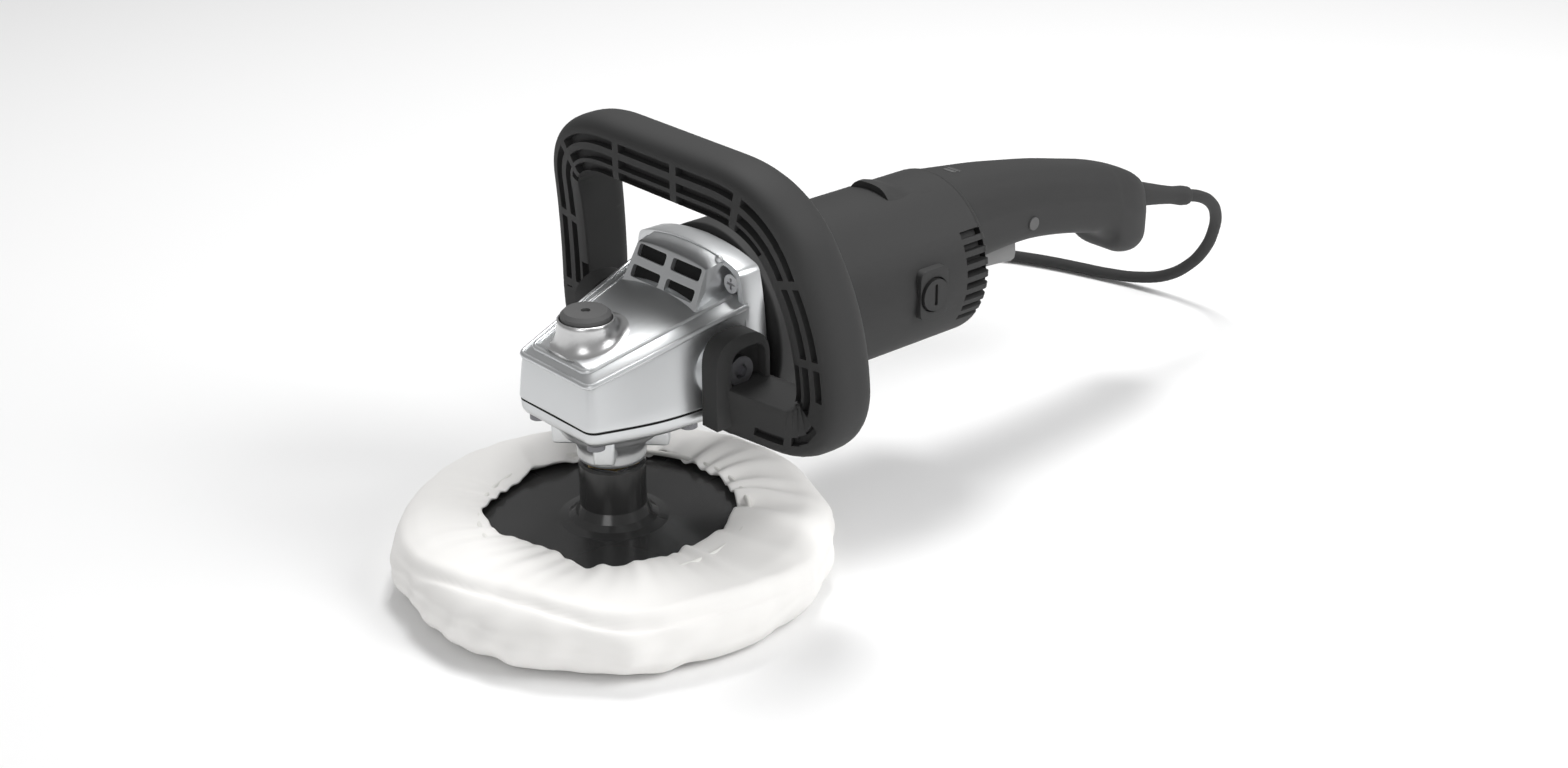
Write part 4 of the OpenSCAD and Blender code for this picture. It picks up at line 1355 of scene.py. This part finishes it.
@dataclass
class Bonnet:
    """Fleece bonnet: a pile-covered cloth bag drawn over the pad, gathered towards its opening.

    Args:
        radius: Outer radius.
        opening: (angle in degrees, radius) round the ragged opening.
        columns: Points round it.
    """

    radius: float = 97.5
    opening: tuple = (
        (-151, 61), (-132, 55), (-110, 53), (-86, 54), (-60, 53), (-41, 57.5), (-19, 52), (13, 41.5),
        (31, 47), (41, 54), (46, 48), (56, 52), (72, 47), (95, 45), (118, 51), (132, 50), (147, 54.5),
        (157, 53), (170, 55),
    )
    columns: int = 560

    def edge(self, theta: np.ndarray) -> np.ndarray:
        """Finds the opening's radius: a smooth line through the given radii, with small nicks.

        Args:
            theta: Angles round the opening.

        Returns:
            The radius at each angle.
        """
        a = np.radians([p[0] for p in self.opening])
        r = np.array([p[1] for p in self.opening], float)
        corners = np.column_stack([r * np.cos(a), r * np.sin(a)])
        after = np.roll(corners, -1, axis=0)
        line = np.concatenate([corners + (after - corners) * k for k in np.linspace(0, 0.9, 10)])
        angle = np.arctan2(line[:, 1], line[:, 0])
        order = np.argsort(angle)
        reach = np.hypot(line[:, 0], line[:, 1])
        angle, reach = angle[order], reach[order]
        soft = [np.interp(theta + d, angle, reach, period=TAU) for d in np.linspace(-0.035, 0.035, 5)]
        return np.mean(soft, axis=0) + 0.45 * waves(theta, 4, 12, 44, 0.4)

    def surface(self) -> tuple[np.ndarray, np.ndarray, np.ndarray]:
        """Draws rings from the middle of the underside, out, over the top, in to the opening and back inside.

        Returns:
            Rings of (r, z), how far along the outline each is, with 1 at the opening, and the angles
            round them.
        """
        th = np.arange(self.columns) * TAU / self.columns
        lip = self.edge(th)
        rim = self.radius - 1.6 + 1.0 * waves(th, 21, 2, 9, 0.7) + 0.5 * waves(th, 22, 10, 40, 0.5)
        bag = (
            (0.0, 0.6), (0.35, 0.4), (0.7, 0.2), (0.86, 0.3), (0.955, 3.2), (0.995, 9.0), (1.0, 15.5),
            (0.985, 21.5), (0.945, 26.6), (0.89, 29.4),
        )
        brow = ((0.75, 30.6), (0.5, 30.9), (0.28, 30.4), (0.12, 29.8), (0.0, 28.6))
        lining = ((84.0, 26.4), (89.0, 24.0), (89.0, 12.0), (86.0, 8.2), (0.0, 8.2))
        outline = [(rim * part, z) for part, z in bag]
        outline += [(lip + (rim * 0.89 - lip) * k, z) for k, z in brow]
        outline += [(lip + 1.2, 27.2), (lip + 5.0, 26.6)]
        outline += [(lip * 0 + r, z) for r, z in lining]
        line = np.array([np.column_stack([r, np.full(len(th), z)]) for r, z in outline])
        seg = np.concatenate([[0], np.cumsum(np.linalg.norm(np.diff(line.mean(1), axis=0), axis=1))])
        shown, hidden = np.linspace(seg[0], seg[OPENING], 118), np.linspace(seg[OPENING], seg[-1], 26)
        at = np.concatenate([shown, hidden[1:]])
        fine = np.stack([self._through(seg, line[..., k], at) for k in (0, 1)], -1)
        return fine, at / seg[OPENING], th

    @staticmethod
    def _through(seg: np.ndarray, values: np.ndarray, at: np.ndarray) -> np.ndarray:
        """Finds values between known ones: on a cubic as far as the opening, and on straight lines past it.

        Args:
            seg: Where the known values are along the outline.
            values: The known values.
            at: Where values are wanted.

        Returns:
            The values.
        """
        slope = np.gradient(values, seg, axis=0)
        k = np.clip(np.searchsorted(seg, at, "right") - 1, 0, len(seg) - 2)
        h = (seg[k + 1] - seg[k])[:, None]
        t = ((at - seg[k]) / (seg[k + 1] - seg[k]))[:, None]
        flat = values[k] + (values[k + 1] - values[k]) * t
        cubic = (
            (2 * t**3 - 3 * t**2 + 1) * values[k] + (t**3 - 2 * t**2 + t) * h * slope[k]
            + (-2 * t**3 + 3 * t**2) * values[k + 1] + (t**3 - t**2) * h * slope[k + 1]
        )
        return np.where(at[:, None] <= seg[OPENING], cubic, flat)

    def build(self) -> None:
        """Makes the bonnet, adds folds, dents and gathers, and puts it in place."""
        line, s, th = self.surface()
        r, z = line[..., 0], line[..., 1]
        s = s[:, None]
        t = th[None]
        back = np.clip((1 + np.cos(t - math.radians(178))) / 2, 0, 1) ** 2
        top = smoothstep(0.60, 0.74, s) * (1 - smoothstep(1.0, 1.02, s))
        inner = smoothstep(0.72, 0.97, s) * (1 - smoothstep(1.0, 1.05, s))
        side = smoothstep(0.42, 0.50, s) * (1 - smoothstep(0.66, 0.74, s))
        drift = t + 0.05 * np.sin(9 * s + 3 * t) + 0.03 * np.sin(17 * s)
        gathers = waves(drift, 31, 14, 44, 0.35)
        pleats = waves(drift + 0.1, 35, 24, 58, 0.4)
        z = z + inner * (0.5 + 2.3 * back) * gathers + inner * (0.12 + 0.5 * back) * pleats
        broad = waves(t + 0.6 * s, 41, 3, 11, 0.5) * (0.6 + 0.4 * np.sin(11 * s + 2 * t))
        z = z + top * 2.0 * broad
        r = r + side * (1.5 * waves(t + 0.4 * s, 51, 5, 22, 0.5) + 0.7 * waves(t - 0.9 * s, 52, 12, 40, 0.4))
        fold_at = 0.735 + 0.035 * np.sin(2.0 * t + 0.7) + 0.02 * np.sin(5 * t)
        front = np.clip(np.cos(t - math.radians(52)), 0, 1) ** 0.6
        fold = np.exp(-(((s - fold_at) / 0.012) ** 2)) - 0.8 * np.exp(-(((s - fold_at - 0.03) / 0.022) ** 2))
        z = z - 2.0 * front * fold * top
        crease_at = 0.66 + 0.02 * np.sin(3 * t + 1.0)
        crease = np.exp(-(((s - crease_at) / 0.01) ** 2))
        r = r - 0.9 * crease * (0.5 + 0.5 * waves(t, 61, 2, 7)) * side
        z = np.maximum(z, 0.0)
        points = np.stack([r * np.cos(t), r * np.sin(t), z], -1)
        bonnet = Shape().lattice(points, wrap_columns=True).build("bonnet_cloth", FLEECE, 180)
        place(bonnet, "spindle", "fleece", "bonnet")
        log.info("bonnet done: %d faces", len(bonnet.data.polygons))


# ---------------------------------------------------------------- cord


@dataclass
class Cord:
    """Mains cord: out of the strain relief, down to the floor, along it to a coil, then its plug.

    Args:
        run: Route from the exit to the coil, in metres.
        tail: Route from the coil to the plug, in metres.
        coil_centre: Middle of the coil, in metres.
        outer: Radius of the outermost turn's centre line, in metres.
        diameter: Cord diameter, in metres.
        turns: Turns in the coil; half in each layer.
        start_deg: Angle at which the cord joins the coil.
    """

    run: tuple = (
        (-0.372, 0, 0.084), (-0.380, 0, 0.0818), (-0.392, 0, 0.078), (-0.404, -0.002, 0.071),
        (-0.414, -0.006, 0.061), (-0.421, -0.012, 0.048), (-0.425, -0.020, 0.034),
        (-0.426, -0.031, 0.021), (-0.425, -0.045, 0.011), (-0.422, -0.062, 0.0055),
        (-0.417, -0.080, 0.0036), (-0.412, -0.098, 0.00325), (-0.406, -0.116, 0.00325),
        (-0.398, -0.134, 0.00325), (-0.3895, -0.150, 0.00325),
    )
    tail: tuple = (
        (-0.327, -0.2245, 0.0085), (-0.313, -0.2285, 0.0100), (-0.300, -0.2315, 0.0140),
        (-0.286, -0.232, 0.0175),
    )
    coil_centre: tuple = (-0.341, -0.175)
    outer: float = 0.048
    diameter: float = 0.0065
    turns: float = 6 + 98 / 360
    start_deg: float = 172.0

    def coil(self) -> np.ndarray:
        """Winds the coil: a spiral inwards on the floor, then one outwards on top of it, a diameter apart.

        Returns:
            Its points, in metres.
        """
        n = int(self.turns * 26)
        k = np.linspace(0, 1, n)
        angle = math.radians(self.start_deg) + k * self.turns * TAU
        inward = self.turns / 2 * self.diameter
        radius = self.outer - inward * (1 - np.abs(2 * k - 1))
        z = self.diameter / 2 + self.diameter * smoothstep(0.47, 0.53, k)
        return np.column_stack([
            self.coil_centre[0] + radius * np.cos(angle), self.coil_centre[1] + radius * np.sin(angle), z,
        ])

    def build(self) -> None:
        points = np.concatenate([self.run, self.coil(), self.tail])
        curve = bpy.data.curves.new("cord", "CURVE")
        curve.dimensions = "3D"
        curve.bevel_depth = self.diameter / 2
        curve.bevel_resolution = 5
        curve.resolution_u = 5
        curve.use_fill_caps = True
        spline = curve.splines.new("BEZIER")
        spline.bezier_points.add(len(points) - 1)
        for place_at, point in zip(spline.bezier_points, points.tolist()):
            place_at.co = point
            place_at.handle_left_type = place_at.handle_right_type = "AUTO"
        cord = bpy.data.objects.new("cord", curve)
        bpy.context.scene.collection.objects.link(cord)
        curve.materials.append(RUBBER.material())
        place(cord, "machine", "cord_rubber", "cord_run", "cord_coil")


@dataclass
class StrainRelief:
    """Ribbed, tapered rubber sleeve where the cord leaves the handle.

    Args:
        start: Where it leaves the handle.
        tilt: Downward tilt in degrees.
        length: Its length.
    """

    start: tuple = (-335.5, 0.0, 93.4)
    tilt: float = 15.0
    length: float = 45.5

    def build(self) -> None:
        """Makes the sleeve and puts it in place."""
        length = self.length
        profile = [
            (0, 0), (6.6, 0), (6.3, 6), (5.7, 14), (5.0, 24), (4.6, 33), (4.9, 37), (5.2, 41), (4.9, length),
            (3.3, length), (0, length),
        ]
        rings = lathe(profile, 48, [0.3, 2, 3, 3, 2, 1.5, 1.5, 0.8, 0.3], 3)
        a = math.radians(self.tilt)
        z = rings[..., 2]
        x = self.start[0] - z * math.cos(a) - rings[..., 0] * math.sin(a)
        up = self.start[2] - z * math.sin(a) + rings[..., 0] * math.cos(a)
        rows = np.stack([x, rings[..., 1], up], -1)
        relief = Shape().lattice(rows, wrap_columns=True).build("relief", RUBBER, 50)
        place(relief, "machine", "cord_rubber", "strain_relief")


# ---------------------------------------------------------------- studio


@dataclass
class Light:
    """One soft area light.

    Args:
        name: Its name.
        at: Where it is, in metres.
        aim: What it points at, in metres.
        size: Its side, in metres.
        power: Its power in watts.
    """

    name: str
    at: tuple[float, float, float]
    aim: tuple[float, float, float]
    size: float
    power: float


@dataclass
class Studio:
    """Pale floor, soft lights and the camera.

    Args:
        target_m: What the camera looks at.
        azimuth: Camera's angle from +X towards +Y, in degrees.
        elevation: Camera's height angle, in degrees.
        distance_m: Camera's distance from its target.
        lens: Focal length on a 36 mm wide sensor.
        surround: Brightness of the white surround, as the object sees it.
        lights: The area lights.
    """

    target_m: tuple = (-0.0775, 0.0236, 0.0735)
    azimuth: float = 48.4
    elevation: float = 24.7
    distance_m: float = 1.0078
    lens: float = 52.8
    surround: float = 0.34
    lights: tuple = (
        Light("key", (-0.75, 1.15, 1.15), (-0.1, 0, 0.06), 0.8, 17),
        Light("front", (1.5, 0.9, 1.0), (0, 0, 0.05), 0.8, 6),
        Light("top", (-0.5, -0.42, 1.6), (-0.1, 0, 0.08), 0.5, 15),
    )

    def camera(self) -> None:
        """Places the camera."""
        a, e = math.radians(self.azimuth), math.radians(self.elevation)
        off = Vector((math.cos(a) * math.cos(e), math.sin(a) * math.cos(e), math.sin(e))) * self.distance_m
        data = bpy.data.cameras.new("camera")
        data.lens, data.sensor_width = self.lens, 36.0
        data.clip_start, data.clip_end = 0.02, 60
        cam = bpy.data.objects.new("camera", data)
        bpy.context.scene.collection.objects.link(cam)
        cam.location = Vector(self.target_m) + off
        cam.rotation_euler = (-off).to_track_quat("-Z", "Y").to_euler()
        bpy.context.scene.camera = cam

    def floor(self) -> None:
        """Adds a pale round floor."""
        n = 96
        t = np.arange(n) * TAU / n
        ring = np.column_stack([9000 * np.cos(t), 9000 * np.sin(t), np.full(n, -0.6)])
        pale = Finish("floor", (0.93, 0.93, 0.93), 0.9)
        Shape().loft(np.array([ring, ring - [0, 0, 20]])).build("floor", pale)

    def light_up(self) -> None:
        """Adds the lights and a white surround."""
        world = bpy.data.worlds.new("surround")
        world.use_nodes = True
        nodes, links = world.node_tree.nodes, world.node_tree.links
        seen = nodes.new("ShaderNodeLightPath")
        strength = nodes.new("ShaderNodeMapRange")
        strength.inputs["To Min"].default_value = self.surround
        strength.inputs["To Max"].default_value = 1.0
        nodes["Background"].inputs["Color"].default_value = (1, 1, 1, 1)
        links.new(seen.outputs["Is Camera Ray"], strength.inputs["Value"])
        links.new(strength.outputs["Result"], nodes["Background"].inputs["Strength"])
        bpy.context.scene.world = world
        for light in self.lights:
            data = bpy.data.lights.new(light.name, "AREA")
            data.shape, data.size, data.energy = "SQUARE", light.size, light.power
            obj = bpy.data.objects.new(light.name, data)
            bpy.context.scene.collection.objects.link(obj)
            obj.location = light.at
            way = Vector(light.aim) - Vector(light.at)
            obj.rotation_euler = way.to_track_quat("-Z", "Y").to_euler()
        bpy.context.scene.view_settings.view_transform = "Standard"

    def build(self) -> None:
        """Sets the whole stage."""
        self.camera()
        self.floor()
        self.light_up()


# ---------------------------------------------------------------- everything else


def finish_nodes() -> None:
    """Paints every CAD node in the finish of its material slot."""
    for sub in frame["record"]["subparts"]:
        node = frame["nodes"].get(sub["node"])
        if node is not None:
            paint(node, SLOT_FINISH[sub["material_slot"]], 35)


def main() -> None:
    """Builds the scene in order: stage, cord, head, handles, barrel, bonnet."""
    logging.basicConfig(level=logging.INFO, format="%(name)s: %(message)s")
    Studio().build()
    finish_nodes()
    Cord().build()
    GearHead().build()
    BearingCover().build()
    LoopHandle().build()
    MotorBarrel().build()
    RearHandle().build()
    Bonnet().build()
    StrainRelief().build()


if __name__ == "__main__":
    main()
